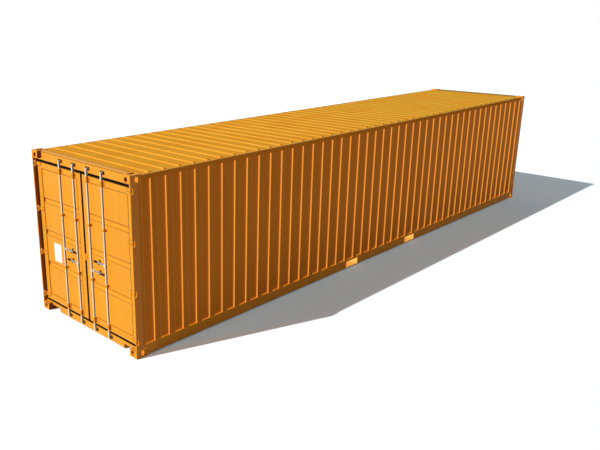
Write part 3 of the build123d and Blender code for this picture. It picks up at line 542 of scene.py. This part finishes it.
def dark_steel(name):
    """Rusty forged steel of the keeper horns and the handle catches."""
    p = Paint(name)
    worn = p.band(p.noise(30.0, 5.0, 0.6), 0.4, 0.7)
    base = p.blend(worn, STEEL_DARK, STEEL_WORN)
    rough = p.band(p.noise(45.0, 4.0), 0.3, 0.7, 0.42, 0.66)
    return p.finish(base, rough, p.bump(p.noise(240.0, 3.0), 0.0003), metallic=0.1, specular=0.25)


def rubber(name, tone, rough_low):
    """Black rubber or plastic with a dry bloom."""
    p = Paint(name)
    bloom = p.band(p.noise(22.0, 5.0, 0.6), 0.42, 0.75)
    base = p.cover((tone,) * 3, bloom, 0.5, (tone * 2.4, tone * 2.2, tone * 2.0))
    rough = p.band(p.noise(60.0, 3.0), 0.3, 0.7, rough_low, rough_low + 0.15)
    return p.finish(base, rough, p.bump(p.noise(380.0, 2.0), 0.0002), specular=0.03)


def dark_seam(name):
    """Old sealant gone dark with grime at joints, also used for painted shade lines where there is no joint."""
    p = Paint(name)
    worn = p.band(p.noise(24.0, 5.0, 0.6), 0.4, 0.7)
    base = p.blend(worn, SEAM_BROWN, SEAM_DARKER)
    rough = p.band(p.noise(45.0, 4.0), 0.3, 0.7, 0.55, 0.75)
    return p.finish(base, rough, p.bump(p.noise(300.0, 3.0), 0.0002), specular=0.2)


def plywood(name):
    """Oiled hardwood plywood with its grain along the container."""
    p = Paint(name)
    grain = p.noise(1.0, 8.0, 0.68, (85.0, 3.2, 60.0))
    base = p.blend(p.band(grain, 0.32, 0.70), PLY_DARK, PLY_LIGHT)
    pores = p.band(p.noise(1.0, 4.0, 0.6, (420.0, 16.0, 300.0)), 0.60, 0.72)
    base = p.cover(base, pores, 0.6, PLY_PORE)
    scuff = p.band(p.noise(1.6, 6.0, 0.62), 0.50, 0.72)
    base = p.cover(base, scuff, 0.45, PLY_SCUFF)
    rough = p.band(p.noise(12.0, 5.0), 0.3, 0.7, 0.45, 0.72)
    return p.finish(base, rough, p.bump(grain, 0.0005), specular=0.3)


def white_plate(name):
    """Bare white enamelled plate, lightly soiled."""
    p = Paint(name)
    haze = p.band(p.noise(11.0, 5.0, 0.6), 0.40, 0.75)
    base = p.cover(PLATE_CLEAN, haze, 0.16, PLATE_HAZE)
    streak = p.band(p.noise(1.0, 3.0, 0.5, (60.0, 60.0, 3.0)), 0.60, 0.80)
    base = p.cover(base, streak, 0.18, PLATE_STREAK)
    rough = p.band(p.noise(35.0, 3.0), 0.3, 0.7, 0.30, 0.45)
    return p.finish(base, rough, p.bump(p.noise(9.0, 2.0), 0.0006), specular=0.4)


# The enamels' facing tones, the castings' side tones and the zinc's darkened sides are painted light and shade.
MATERIALS = {
    "door_paint": enamel("door_enamel", DOOR_ORANGE, DOOR_SIDE),
    "frame_paint": enamel("frame_enamel", DOOR_ORANGE, SIDE_ORANGE, ROOF_ORANGE),
    "sheet_paint": enamel("sheet_enamel", SLOPE_ORANGE, SIDE_ORANGE, gloss=0.04),
    "casting_paint": cast_paint("casting_enamel", DOOR_ORANGE, SIDE_ORANGE),
    "galvanised": galvanised("zinc", 1.0, 0.88, 0.9),
    "dark_steel": dark_steel("forged_steel"),
    "door_rubber": rubber("seal_rubber", 0.003, 0.75),
    "plywood": plywood("floor_plywood"),
    "plate_white": white_plate("plate_enamel"),
}
JOINT_AND_SHADE_LINES = dark_seam("seam_grime_and_shade")
# Painted highlight for the beads along the roof's edges.
EDGE_HIGHLIGHT_PAINT = enamel("edge_highlight_enamel", EDGE_HIGHLIGHT)
GRIP_BLACK = rubber("grip_plastic", 0.004, 0.60)
PIN_STEEL = galvanised("bolt_zinc", 0.42)
LEVER_ZINC = galvanised("lever_zinc", 0.36)
# Saddles: painted shade on their sideways faces.
SADDLE_PAINT = enamel("saddle_enamel", DOOR_ORANGE, SADDLE_SIDE)
OWN_PAINT = {
    # Roof: painted shade on the ridge ends and towards the far end.
    "roof": enamel("roof_enamel", ROOF_ORANGE, ROOF_ENDS, far_colour=ROOF_FAR, gloss=0.0,
                   patches=0.22),
    # Top rails: painted light on faces that look up, painted shade on faces that look sideways.
    "top_rails": enamel("rail_enamel", DOOR_ORANGE, SIDE_ORANGE, ROOF_ORANGE, gloss=0.0),
    # Bottom rails: painted light on their sideways faces.
    "bottom_rails": enamel("low_rail_enamel", DOOR_ORANGE, LOW_RAIL_SIDE, gloss=0.20),
    # Front header: painted shade on its top and on its face towards the door end.
    "front_header": enamel("header_enamel", DOOR_ORANGE, SIDE_ORANGE, HEADER_TOP,
                           inner_colour=HEADER_TOP),
    "rear_post_left": enamel("post_enamel", DOOR_ORANGE, POST_SHADE),
    # Forklift pockets: painted light inside.
    "fork_pockets": enamel("pocket_enamel", POCKET_ORANGE),
    # Hinge lugs: painted light on their sideways faces.
    "hinge_lugs": enamel("lug_enamel", DOOR_ORANGE, LUG_SIDE),
}
OWN_PAINT.update({"handle_%d" % n: LEVER_ZINC for n in BARS})
OWN_PAINT.update({side + "_door_bar_brackets": SADDLE_PAINT for side in SIDES})


# CAD nodes: finish and rounded edges
FOLDED = {
    "side_wall_left": 0.0018, "side_wall_right": 0.0018, "front_wall": 0.004,
    "left_door_panel": 0.003, "right_door_panel": 0.003, "roof": 0.002,
}
EDGE_ROUND = {
    "corner_castings_bottom": 0.0012, "corner_castings_top": 0.0012,
    "floor_boards": 0.0012, "hinge_pins": 0.0006, "data_plate": 0.0004,
    "left_door_gasket": 0.002, "right_door_gasket": 0.002,
    "left_door_handle_catches": 0.0008, "right_door_handle_catches": 0.0008,
}
FRAME_ROUND = 0.0018
SMALL_ROUND = 0.0007
SLENDER = ("lock_bar", "handle_", "cam_keepers", "hinge_lugs", "brackets", "hinge_blades",
           "seal_lug")


def dress_nodes():
    """Gives each CAD node its material and its edge rounding."""
    slots = {s["node"]: s["material_slot"] for s in frame["record"]["subparts"]}
    for name, obj in NODES.items():
        obj.data.materials.clear()
        obj.data.materials.append(OWN_PAINT.get(name, MATERIALS[slots[name]]))
        if name in FOLDED:
            soften(obj, FOLDED[name], folded=True)
        else:
            width = SMALL_ROUND if any(word in name for word in SLENDER) else FRAME_ROUND
            soften(obj, EDGE_ROUND.get(name, width))


dress_nodes()


# Small pieces laid over the CAD nodes
SADDLES = {side: islands(side + "_door_bar_brackets") for side in SIDES}
BLADES = {side: islands(side + "_door_hinge_blades") for side in SIDES}
CATCHES = {side: islands(side + "_door_handle_catches") for side in SIDES}
KEEPERS = islands("cam_keepers")

GRIP_PROUD = 0.0015
GRIP_LENGTH = 0.087
GRIP_HALF = (0.007 + GRIP_PROUD, 0.013 + GRIP_PROUD)
GRIP_CORNER = 0.42
GRIP_CORNER_POINTS = 4
GRIP_MOUTH = (0.9, 0.92)
GRIP_PLAIN = 0.012
GRIP_RIB = 0.006
RIB_PROFILE = ((0.10, 1.0), (0.62, 1.0), (0.74, 0.93), (0.96, 0.93))
TIP_PROFILE = ((0.010, 1.0), (0.005, 0.93), (0.0018, 0.74), (0.0, 0.5))


def grip_ring(x, half_y, half_z, centre):
    """Rounded outline of the hand grip at one place."""
    points = []
    for cy, cz, start in ((1, 1, 0), (-1, 1, 1), (-1, -1, 2), (1, -1, 3)):
        for k in range(GRIP_CORNER_POINTS):
            turn = math.pi / 2 * (start + k / (GRIP_CORNER_POINTS - 1))
            y = cy * half_y * (1 - GRIP_CORNER) + half_y * GRIP_CORNER * math.cos(turn)
            z = cz * half_z * (1 - GRIP_CORNER) + half_z * GRIP_CORNER * math.sin(turn)
            points.append((x, centre.y + y, centre.z + z))
    return points


def add_grips():
    """Ribbed black sleeve over the hand grip of each lever."""
    half_y, half_z = GRIP_HALF
    for n in BARS:
        low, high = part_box("handle_%d" % n)
        centre = (low + high) / 2
        way = 1 if centre.x > BAR_AXIS[n].x else -1
        tip = high.x if way > 0 else low.x
        start = tip - way * GRIP_LENGTH
        end = tip + way * GRIP_PROUD
        rings = [grip_ring(start, half_y * GRIP_MOUTH[0], half_z * GRIP_MOUTH[1], centre)]
        for i in range(int((GRIP_LENGTH - GRIP_PLAIN) / GRIP_RIB)):
            for along, size in RIB_PROFILE:
                x = start + way * GRIP_RIB * (i + along)
                rings.append(grip_ring(x, half_y * size, half_z * size, centre))
        for left, size in TIP_PROFILE:
            rings.append(grip_ring(end - way * left, half_y * size, half_z * size, centre))
        bm = bmesh.new()
        ring_loft(bm, rings)
        piece("grip_sleeve_%d" % n, bm, "handle_%d" % n, "door_rubber", GRIP_BLACK)


BUSH_RADII = (0.0174, 0.0205)
BUSH_PROUD = 0.002
RING_RADII = (0.0168, 0.0208)
RING_TALL = 0.009
RING_CLEAR = 0.004
HANDLE_CHEEK_OUT = 0.012
PIVOT_BOLT = 0.0085


def add_bushings():
    """Thin bushings that show at both mouths of every saddle."""
    for side, boxes in SADDLES.items():
        bm = bmesh.new()
        for low, high in boxes:
            axis = nearest_axis(low, high)
            for z0, z1 in ((high.z, high.z + BUSH_PROUD), (low.z - BUSH_PROUD, low.z)):
                collar(bm, axis, *BUSH_RADII, z0, z1)
        piece(side + "_bar_bushings", bm, side + "_door", "door_paint")


def add_bar_rings():
    """Rings welded on the bars beside the saddles, and the pivot bolts of the levers."""
    for n in BARS:
        bm = bmesh.new()
        own = [b for b in SADDLES[DOOR_OF[n]] if b[0].x < BAR_AXIS[n].x < b[1].x]
        own.sort(key=lambda b: b[0].z)
        for i, (low, high) in enumerate(own):
            if i < 2:
                z0 = high.z + BUSH_PROUD + RING_CLEAR
            else:
                z0 = low.z - BUSH_PROUD - RING_CLEAR - RING_TALL
            collar(bm, BAR_AXIS[n], *RING_RADII, z0, z0 + RING_TALL)
        pivot = HANDLE_PIVOT[n]
        bolt(bm, (pivot.x, pivot.y - HANDLE_CHEEK_OUT, pivot.z), PIVOT_BOLT, HEX_HEAD)
        piece("bar_rings_%d" % n, bm, "lock_bar_%d" % n, "galvanised")


BLADE_THICK = 0.008
FOOT_THICK = 0.005
BLADE_BOLT = 0.0052
BLADE_BOLTS_ALONG = (0.030, 0.078)
BLADE_BOLT_RISE = 0.013
FOOT_BOLT = 0.0042
FOOT_BOLT_SIDE = 0.033
FOOT_BOLT_RISE = 0.022
TALL_FOOT = 0.06
LUG_BOLT = 0.0055
LUG_BOLT_RISE = 0.028
CATCH_BOLT = 0.0026
CATCH_BOLTS_TOP = (0.0105, 0.006)
CATCH_BOLTS_FOOT = (0.0095, 0.004)
RIVET = 0.0034
RIVET_INSET = 0.009


def add_door_bolts():
    """Bolts of the hinge blades, saddle feet, seal plate and handle catches."""
    for side, sign in SIDES.items():
        bm = bmesh.new()
        for low, high in BLADES[side]:
            z = (low.z + high.z) / 2
            tip = low.x if sign > 0 else high.x
            for along in BLADE_BOLTS_ALONG:
                for dz in (-BLADE_BOLT_RISE, BLADE_BOLT_RISE):
                    place = (tip + sign * along, LEAF_FACE - BLADE_THICK, z + dz)
                    bolt(bm, place, BLADE_BOLT)
        for low, high in SADDLES[side]:
            x = (low.x + high.x) / 2
            z = (low.z + high.z) / 2
            tall = high.z - low.z > TALL_FOOT
            for dx in (-FOOT_BOLT_SIDE, FOOT_BOLT_SIDE):
                for dz in (-FOOT_BOLT_RISE, FOOT_BOLT_RISE) if tall else (0.0,):
                    bolt(bm, (x + dx, high.y - FOOT_THICK, z + dz), FOOT_BOLT)
        low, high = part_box(side + "_door_seal_lug")
        for dz in (-LUG_BOLT_RISE, LUG_BOLT_RISE):
            bolt(bm, ((low.x + high.x) / 2, low.y, (low.z + high.z) / 2 + dz), LUG_BOLT)
        piece(side + "_door_bolts", bm, side + "_door", "door_paint")
        bm = bmesh.new()
        for low, high in CATCHES[side]:
            x = (low.x + high.x) / 2
            for dx, z in ((CATCH_BOLTS_TOP[0], high.z - CATCH_BOLTS_TOP[1]),
                          (CATCH_BOLTS_FOOT[0], low.z + CATCH_BOLTS_FOOT[1])):
                for across in (-dx, dx):
                    bolt(bm, (x + across, high.y - FOOT_THICK, z), CATCH_BOLT)
        piece(side + "_catch_bolts", bm, side + "_door", "dark_steel")


def add_plate_rivets():
    """Rivets in the corners of the bare plate."""
    low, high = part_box("data_plate")
    bm = bmesh.new()
    for x in (low.x + RIVET_INSET, high.x - RIVET_INSET):
        for z in (low.z + RIVET_INSET, high.z - RIVET_INSET):
            bolt(bm, (x, low.y, z), RIVET)
    piece("data_plate_rivets", bm, "left_door", "galvanised", PIN_STEEL)


SEAM_LIFT = 0.0002
BLADE_SEAM = 0.0036
BLADE_SEAM_STEP = 0.02
BLADE_SEAM_TURNS = 12
BLADE_SEAM_ROOT = 0.016
PANEL_SEAM = 0.0040
BAND_SEAM = 0.0034
BAND_CLEAR = 0.01
SEAL_LIP = 0.0042
MEETING_LIP = 0.0015


def band_edges(side):
    """Heights at which the pressed bands leave the face of a door panel."""
    mesh = NODES[side + "_door_panel"].data
    low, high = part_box(side + "_door_panel")
    heights = {round(v.co.z, 4) for v in mesh.vertices if abs(v.co.y - PANEL_FACE) < ON_FACE}
    return sorted(z for z in heights if low.z + BAND_CLEAR < z < high.z - BAND_CLEAR)


def add_door_seams():
    """Dark lines round the blades and the panels, sealant and grime at their joints and painted shade at once, and
    painted shade lines along the panels' bands.
    """
    for side, sign in SIDES.items():
        bm = bmesh.new()
        face = LEAF_FACE - BLADE_THICK
        for low, high in BLADES[side]:
            r = (high.z - low.z) / 2
            z = (low.z + high.z) / 2
            line = r - BLADE_SEAM
            tip = low.x if sign > 0 else high.x
            root = (LEAF[side][1].x if sign > 0 else LEAF[side][0].x) - sign * BLADE_SEAM_ROOT
            path = [(root, face, z + line)]
            for k in range(BLADE_SEAM_TURNS + 1):
                turn = math.pi / 2 + math.pi * k / BLADE_SEAM_TURNS
                path.append((tip + sign * (r + line * math.cos(turn)), face,
                             z + line * math.sin(turn)))
            path.append((root, face, z - line))
            seam(bm, path, OUT, BLADE_SEAM, BLADE_SEAM_STEP)
        low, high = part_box(side + "_door_panel")
        edge = [(low.x, low.z), (high.x, low.z), (high.x, high.z), (low.x, high.z), (low.x, low.z)]
        seam(bm, [(x, LEAF_FACE - SEAM_LIFT, z) for x, z in edge], OUT, PANEL_SEAM)
        face = PANEL_FACE - SEAM_LIFT
        # Painted shade: dark lines where the pressed bands leave the panel's face.
        for z in band_edges(side):
            seam(bm, [(low.x, face, z), (high.x, face, z)], OUT, BAND_SEAM)
        piece(side + "_door_seams", bm, side + "_door", "door_rubber", JOINT_AND_SHADE_LINES)


def add_seal_lips():
    """Lip of the door seal that laps over the free edges of each leaf, thinner at the middle."""
    for side, sign in SIDES.items():
        bm = bmesh.new()
        low, high = LEAF[side]
        inner = (low.x if sign > 0 else high.x) + sign * SEAL_LIP
        outer = (high.x if sign > 0 else low.x) - sign * SEAL_LIP
        top, foot = high.z - SEAL_LIP, low.z + SEAL_LIP
        path = [(inner, top), (outer, top), (outer, foot), (inner, foot)]
        seam(bm, [(x, LEAF_FACE, z) for x, z in path], OUT, SEAL_LIP)
        meeting = inner - sign * (SEAL_LIP - MEETING_LIP)
        seam(bm, [(meeting, LEAF_FACE, foot), (meeting, LEAF_FACE, top)], OUT, MEETING_LIP)
        piece(side + "_seal_lips", bm, side + "_door", "door_rubber")


KEEPER_WELD = 0.0022
KEEPER_WELD_IN = 0.0005
CASTING_SEAM = 0.0042
CASTING_INNER = 1.057
SILL_NOTCH = 0.085
HEADER_LINE = 0.014
PLATE_HALF = 0.043
PLATE_THICK = 0.002
PLATE_REACH = 0.004


def add_keeper_welds():
    """Weld beads down both sides of the keeper feet."""
    bm = bmesh.new()
    for low, high in KEEPERS:
        y = high.y - KEEPER_WELD_IN
        for x in (low.x, high.x):
            bead(bm, [(x, y, low.z), (x, y, high.z)], OUT, KEEPER_WELD)
    piece("keeper_welds", bm, "container", "dark_steel")


def add_casting_seams():
    """Dark seams where the door frame meets the castings, and painted shade lines along the header's two top
    edges.
    """
    bm = bmesh.new()
    header_low, header_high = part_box("door_header")
    sill_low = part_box("door_sill")[0]
    for side, sign in SIDES.items():
        low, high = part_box("rear_post_" + side)
        outer = high.x if sign > 0 else low.x
        inner = sign * CASTING_INNER
        for z in (low.z, high.z):
            seam(bm, [(inner, low.y, z), (outer, low.y, z)], OUT, CASTING_SEAM, WELD_STEP)
        for y, z0, z1 in ((header_low.y, high.z, header_high.z), (sill_low.y, SILL_NOTCH, low.z)):
            seam(bm, [(inner, y, z0), (inner, y, z1)], OUT, CASTING_SEAM, WELD_STEP)
    # Painted shade: dark lines along the header's two top edges.
    for y, z, normal in ((header_low.y, header_high.z - HEADER_LINE, OUT),
                         (header_high.y - HEADER_LINE, header_high.z, UP)):
        seam(bm, [(-CASTING_INNER, y, z), (CASTING_INNER, y, z)], normal, CASTING_SEAM)
    piece("casting_seams", bm, "container", "frame_paint", JOINT_AND_SHADE_LINES)


def add_keeper_plates():
    """Thin plates behind the pairs of keepers."""
    bm = bmesh.new()
    seen = set()
    for low, high in KEEPERS:
        x = nearest_axis(low, high).x
        key = (round(x, 3), round(low.z, 3))
        if key not in seen:
            seen.add(key)
            block(bm, (x - PLATE_HALF, high.y - PLATE_THICK, low.z - PLATE_REACH),
                  (x + PLATE_HALF, high.y, high.z + PLATE_REACH))
    piece("keeper_plates", bm, "container", "dark_steel")


SHEET_THICK = 0.002
WALL_BEAD = 0.0026
WALL_BEAD_STEP = 0.02
WALL_BEAD_LIFT = 0.0003
WAVES_A_SHEET = 6
SHEET_BEAD = 0.0016
SHEET_BEAD_STEP = 0.012
EDGE_BEAD = 0.0055
EDGE_BEAD_STEP = 0.02


def wave_foot(side):
    """Line of a side wall's outer skin, read from the lowest corners of its mesh."""
    mesh = NODES["side_wall_" + side].data
    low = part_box("side_wall_" + side)[0].z
    points = {(round(v.co.y, 5), round(v.co.x, 5)) for v in mesh.vertices
              if abs(v.co.z - low) < NEAR}
    crest = max(abs(x) for _, x in points)
    floor = min(abs(x) for _, x in points) + SHEET_THICK
    line = sorted((y, x) for y, x in points
                  if abs(abs(x) - crest) < SAME or abs(abs(x) - floor) < SAME)
    return [(x, y) for y, x in line], low


def add_wall_welds():
    """Bead where each side wall stands on its rail, upright seams between its sheets, and a pale bead along each
    roof edge as a painted highlight.
    """
    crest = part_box("side_wall_right")[1].x - NEAR
    for side, sign in SIDES.items():
        line, low = wave_foot(side)
        bm = bmesh.new()
        bead(bm, [(x, y, low + WALL_BEAD_LIFT) for x, y in line], UP, WALL_BEAD, WALL_BEAD_STEP)
        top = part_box("side_wall_" + side)[1].z
        crests = [(a, b) for a, b in zip(line, line[1:])
                  if abs(a[0] - b[0]) < SAME and abs(a[0]) > crest]
        for a, b in crests[WAVES_A_SHEET - 1:-1:WAVES_A_SHEET]:
            y = (a[1] + b[1]) / 2
            bead(bm, [(a[0], y, low), (a[0], y, top)], (sign, 0, 0), SHEET_BEAD, SHEET_BEAD_STEP)
        piece(side + "_wall_welds", bm, "container", "sheet_paint")
        # A pale bead along the roof's edge, a painted highlight.
        rail_low, rail_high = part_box("top_rails")
        x = sign * (rail_high.x - EDGE_BEAD)
        z = rail_high.z + SHEET_THICK
        bm = bmesh.new()
        bead(bm, [(x, rail_low.y, z), (x, rail_high.y, z)], UP, EDGE_BEAD, EDGE_BEAD_STEP)
        piece(side + "_roof_edge", bm, "container", "frame_paint", EDGE_HIGHLIGHT_PAINT)


SCREWS_A_ROW = 10
SCREW_INSET = 0.05
SCREW_ON_FLANGE = 0.012
SCREW_CLEAR = 0.01
SCREW_RADII = (0.006, 0.0055)
SCREW_HEIGHTS = (-0.001, 0.0006)
SCREW_SIDES = 10


def add_floor_screws():
    """Rows of flat screw heads that hold the boards to the cross members."""
    bm = bmesh.new()
    boards = islands("floor_boards")
    top = boards[0][1].z
    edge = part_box("floor_boards")[1].x
    for low, _ in islands("cross_members"):
        y = low.y + SCREW_ON_FLANGE
        for k in range(SCREWS_A_ROW):
            x = -edge + SCREW_INSET + k * (2 * edge - 2 * SCREW_INSET) / (SCREWS_A_ROW - 1)
            if any(b[0].x + SCREW_CLEAR < x < b[1].x - SCREW_CLEAR
                   and b[0].y + SCREW_CLEAR < y < b[1].y - SCREW_CLEAR for b in boards):
                frustum(bm, Matrix.Translation((x, y, top)), *SCREW_HEIGHTS, *SCREW_RADII,
                        SCREW_SIDES)
    piece("floor_screws", bm, "container", "galvanised", PIN_STEEL)


add_grips()
add_bushings()
add_bar_rings()
add_door_bolts()
add_plate_rivets()
add_door_seams()
add_seal_lips()
add_keeper_welds()
add_casting_seams()
add_keeper_plates()
add_wall_welds()
add_floor_screws()


# Camera
PHOTO_W = 600
PHOTO_H = 450
SENSOR_W = 36.0
FOCAL_PX = 674.64
CENTRE_PX = (221.046, 216.358)
CAMERA_PLACE = (7.9339, -11.1005, 4.5594)
CAMERA_YAW = 0.7922
CAMERA_PITCH = -0.2928
CLIP_END = 600.0


def aim(obj, direction):
    """Points an object's -Z along a direction."""
    obj.rotation_mode = "QUATERNION"
    obj.rotation_quaternion = Vector(direction).to_track_quat("-Z", "Y")


def add_camera():
    """Camera at the photo's viewpoint, found from the container's corners."""
    data = bpy.data.cameras.new("camera")
    obj = bpy.data.objects.new("camera", data)
    SCENE.collection.objects.link(obj)
    obj.location = CAMERA_PLACE
    flat = math.cos(CAMERA_PITCH)
    aim(obj, (-math.sin(CAMERA_YAW) * flat, math.cos(CAMERA_YAW) * flat, math.sin(CAMERA_PITCH)))
    data.sensor_width = SENSOR_W
    data.lens = SENSOR_W * FOCAL_PX / PHOTO_W
    data.shift_x = (PHOTO_W / 2 - CENTRE_PX[0]) / PHOTO_W
    data.shift_y = (CENTRE_PX[1] - PHOTO_H / 2) / PHOTO_W
    data.clip_end = CLIP_END
    SCENE.camera = obj


# Light
KEY = 0.80
KEY_TRAVEL = (1.04, 3.05, -2.59)
KEY_SPREAD = 0.6
FILL = 0.22
FILL_TRAVEL = (0.6, 1.0, -0.02)
FILL_SPREAD = 10.0
AMBIENT = 0.20
SHADED_NODES = ("roof", "floor_boards", "cross_members", "side_wall_left", "front_wall",
                "front_posts", "front_header", "front_sill", "top_rails")
SHADED_PIECES = ("floor", "floor_screws", "left_wall_welds", "left_roof_edge", "right_roof_edge")


def add_sun(name, travel, strength, spread, shadows, group):
    """Sun lamp of a strength at which a white surface facing it shows that share of white."""
    lamp = bpy.data.lights.new(name, "SUN")
    lamp.energy = strength * math.pi
    lamp.angle = math.radians(spread)
    lamp.use_shadow = shadows
    obj = bpy.data.objects.new(name, lamp)
    SCENE.collection.objects.link(obj)
    aim(obj, travel)
    obj.light_linking.receiver_collection = group


def add_lamps():
    """Key and fill for the surfaces that keep the key's shadow, and the same pair for the rest.

    The photo lights the doors and the relief of its shaded side as if nothing stood in the way.
    Each surface is lit by one pair only. A lamp shared by both groups came out at another
    strength in some runs.
    """
    shaded = bpy.data.collections.new("lit_with_shadows")
    relief = bpy.data.collections.new("lit_openly")
    nodes = [NODES[name] for name in SHADED_NODES]
    for obj in [o for o in SCENE.objects if o.type == "MESH"]:
        kept = obj in nodes or obj.name in SHADED_PIECES
        (shaded if kept else relief).objects.link(obj)
    for group, place, shadows in ((shaded, "", True), (relief, "_on_relief", False)):
        add_sun("key" + place, KEY_TRAVEL, KEY, KEY_SPREAD, shadows, group)
        add_sun("fill" + place, FILL_TRAVEL, FILL, FILL_SPREAD, False, group)


def seen_directly(tree):
    """1 for camera, glossy and transmission rays, 0 for the rays that light the object."""
    path = tree.nodes.new("ShaderNodeLightPath")
    total = path.outputs["Is Camera Ray"]
    for name in ("Is Glossy Ray", "Is Transmission Ray"):
        add = tree.nodes.new("ShaderNodeMath")
        add.operation = "ADD"
        add.use_clamp = True
        tree.links.new(total, add.inputs[0])
        tree.links.new(path.outputs[name], add.inputs[1])
        total = add.outputs[0]
    return total


def join_by_ray(tree, out, to_light, seen):
    """Joins one shader for the rays that light the object and one for the rays that see it."""
    mix = tree.nodes.new("ShaderNodeMixShader")
    tree.links.new(seen_directly(tree), mix.inputs[0])
    tree.links.new(to_light.outputs[0], mix.inputs[1])
    tree.links.new(seen.outputs[0], mix.inputs[2])
    tree.links.new(mix.outputs[0], out.inputs[0])


def add_world():
    """Soft even light, seen as plain white."""
    world = bpy.data.worlds.new("studio")
    SCENE.world = world
    world.use_nodes = True
    tree = world.node_tree
    tree.nodes.clear()
    shades = []
    for strength in (AMBIENT, 1.0):
        shade = tree.nodes.new("ShaderNodeBackground")
        shade.inputs["Color"].default_value = (1, 1, 1, 1)
        shade.inputs["Strength"].default_value = strength
        shades.append(shade)
    join_by_ray(tree, tree.nodes.new("ShaderNodeOutputWorld"), *shades)


# Floor
FLOOR_HALF = 250.0
FLOOR_TO_LIGHT = (0.42, 0.42, 0.42, 1.0)
FLOOR_SEEN = (1.42, 1.65, 1.77)
FLOOR_BY_WALL = (1.17, 1.82, 2.25)
FLOOR_IN_SHADE = (1.19, 1.63, 1.88)
# KEY_TRAVEL takes the key's light from the roof's edge to the floor.
SHADE_WIDTH = KEY_TRAVEL[0]
SHADE_SKEW = KEY_TRAVEL[1] / KEY_TRAVEL[0]
SHADE_START = (-0.5, -0.1)
SHADE_FADE = 0.2
SHADE_TURN = 0.9
SHADE_CORNER = (0.1, 0.6)
SHADE_FRONT = (5.5, 6.6)


def floor_tone(p):
    """The floor's colour to the camera, evened out where the right wall tints its shade."""
    place = p.split()
    off_wall = p.maths("SUBTRACT", place["X"], HALF_WIDTH)
    past_corner = p.maths("SUBTRACT", p.maths("ADD", place["Y"], HALF_LENGTH),
                          p.maths("MULTIPLY", off_wall, SHADE_SKEW))
    shade = p.band(off_wall, *SHADE_START)
    for mask in (p.band(off_wall, SHADE_WIDTH - SHADE_FADE, SHADE_WIDTH, 1.0, 0.0),
                 p.band(past_corner, *SHADE_CORNER),
                 p.band(place["Y"], *SHADE_FRONT, 1.0, 0.0)):
        shade = p.maths("MULTIPLY", shade, mask)
    even = p.blend(p.band(off_wall, 0.0, SHADE_TURN), FLOOR_BY_WALL, FLOOR_IN_SHADE)
    return p.blend(shade, FLOOR_SEEN, even)


def add_floor():
    """Plain pale floor that keeps the shadow."""
    bm = bmesh.new()
    bmesh.ops.create_grid(bm, x_segments=1, y_segments=1, size=FLOOR_HALF)
    mesh = bpy.data.meshes.new("floor")
    bm.to_mesh(mesh)
    bm.free()
    obj = bpy.data.objects.new("floor", mesh)
    SCENE.collection.objects.link(obj)
    p = Paint("floor")
    p.tree.nodes.remove(p.shader)
    shades = []
    for tone in (FLOOR_TO_LIGHT, floor_tone(p)):
        shade = p.node("ShaderNodeBsdfDiffuse")
        p.feed(shade.inputs["Color"], tone)
        shades.append(shade)
    join_by_ray(p.tree, p.tree.nodes["Material Output"], *shades)
    mesh.materials.append(p.material)


add_camera()
add_world()
add_floor()
add_lamps()
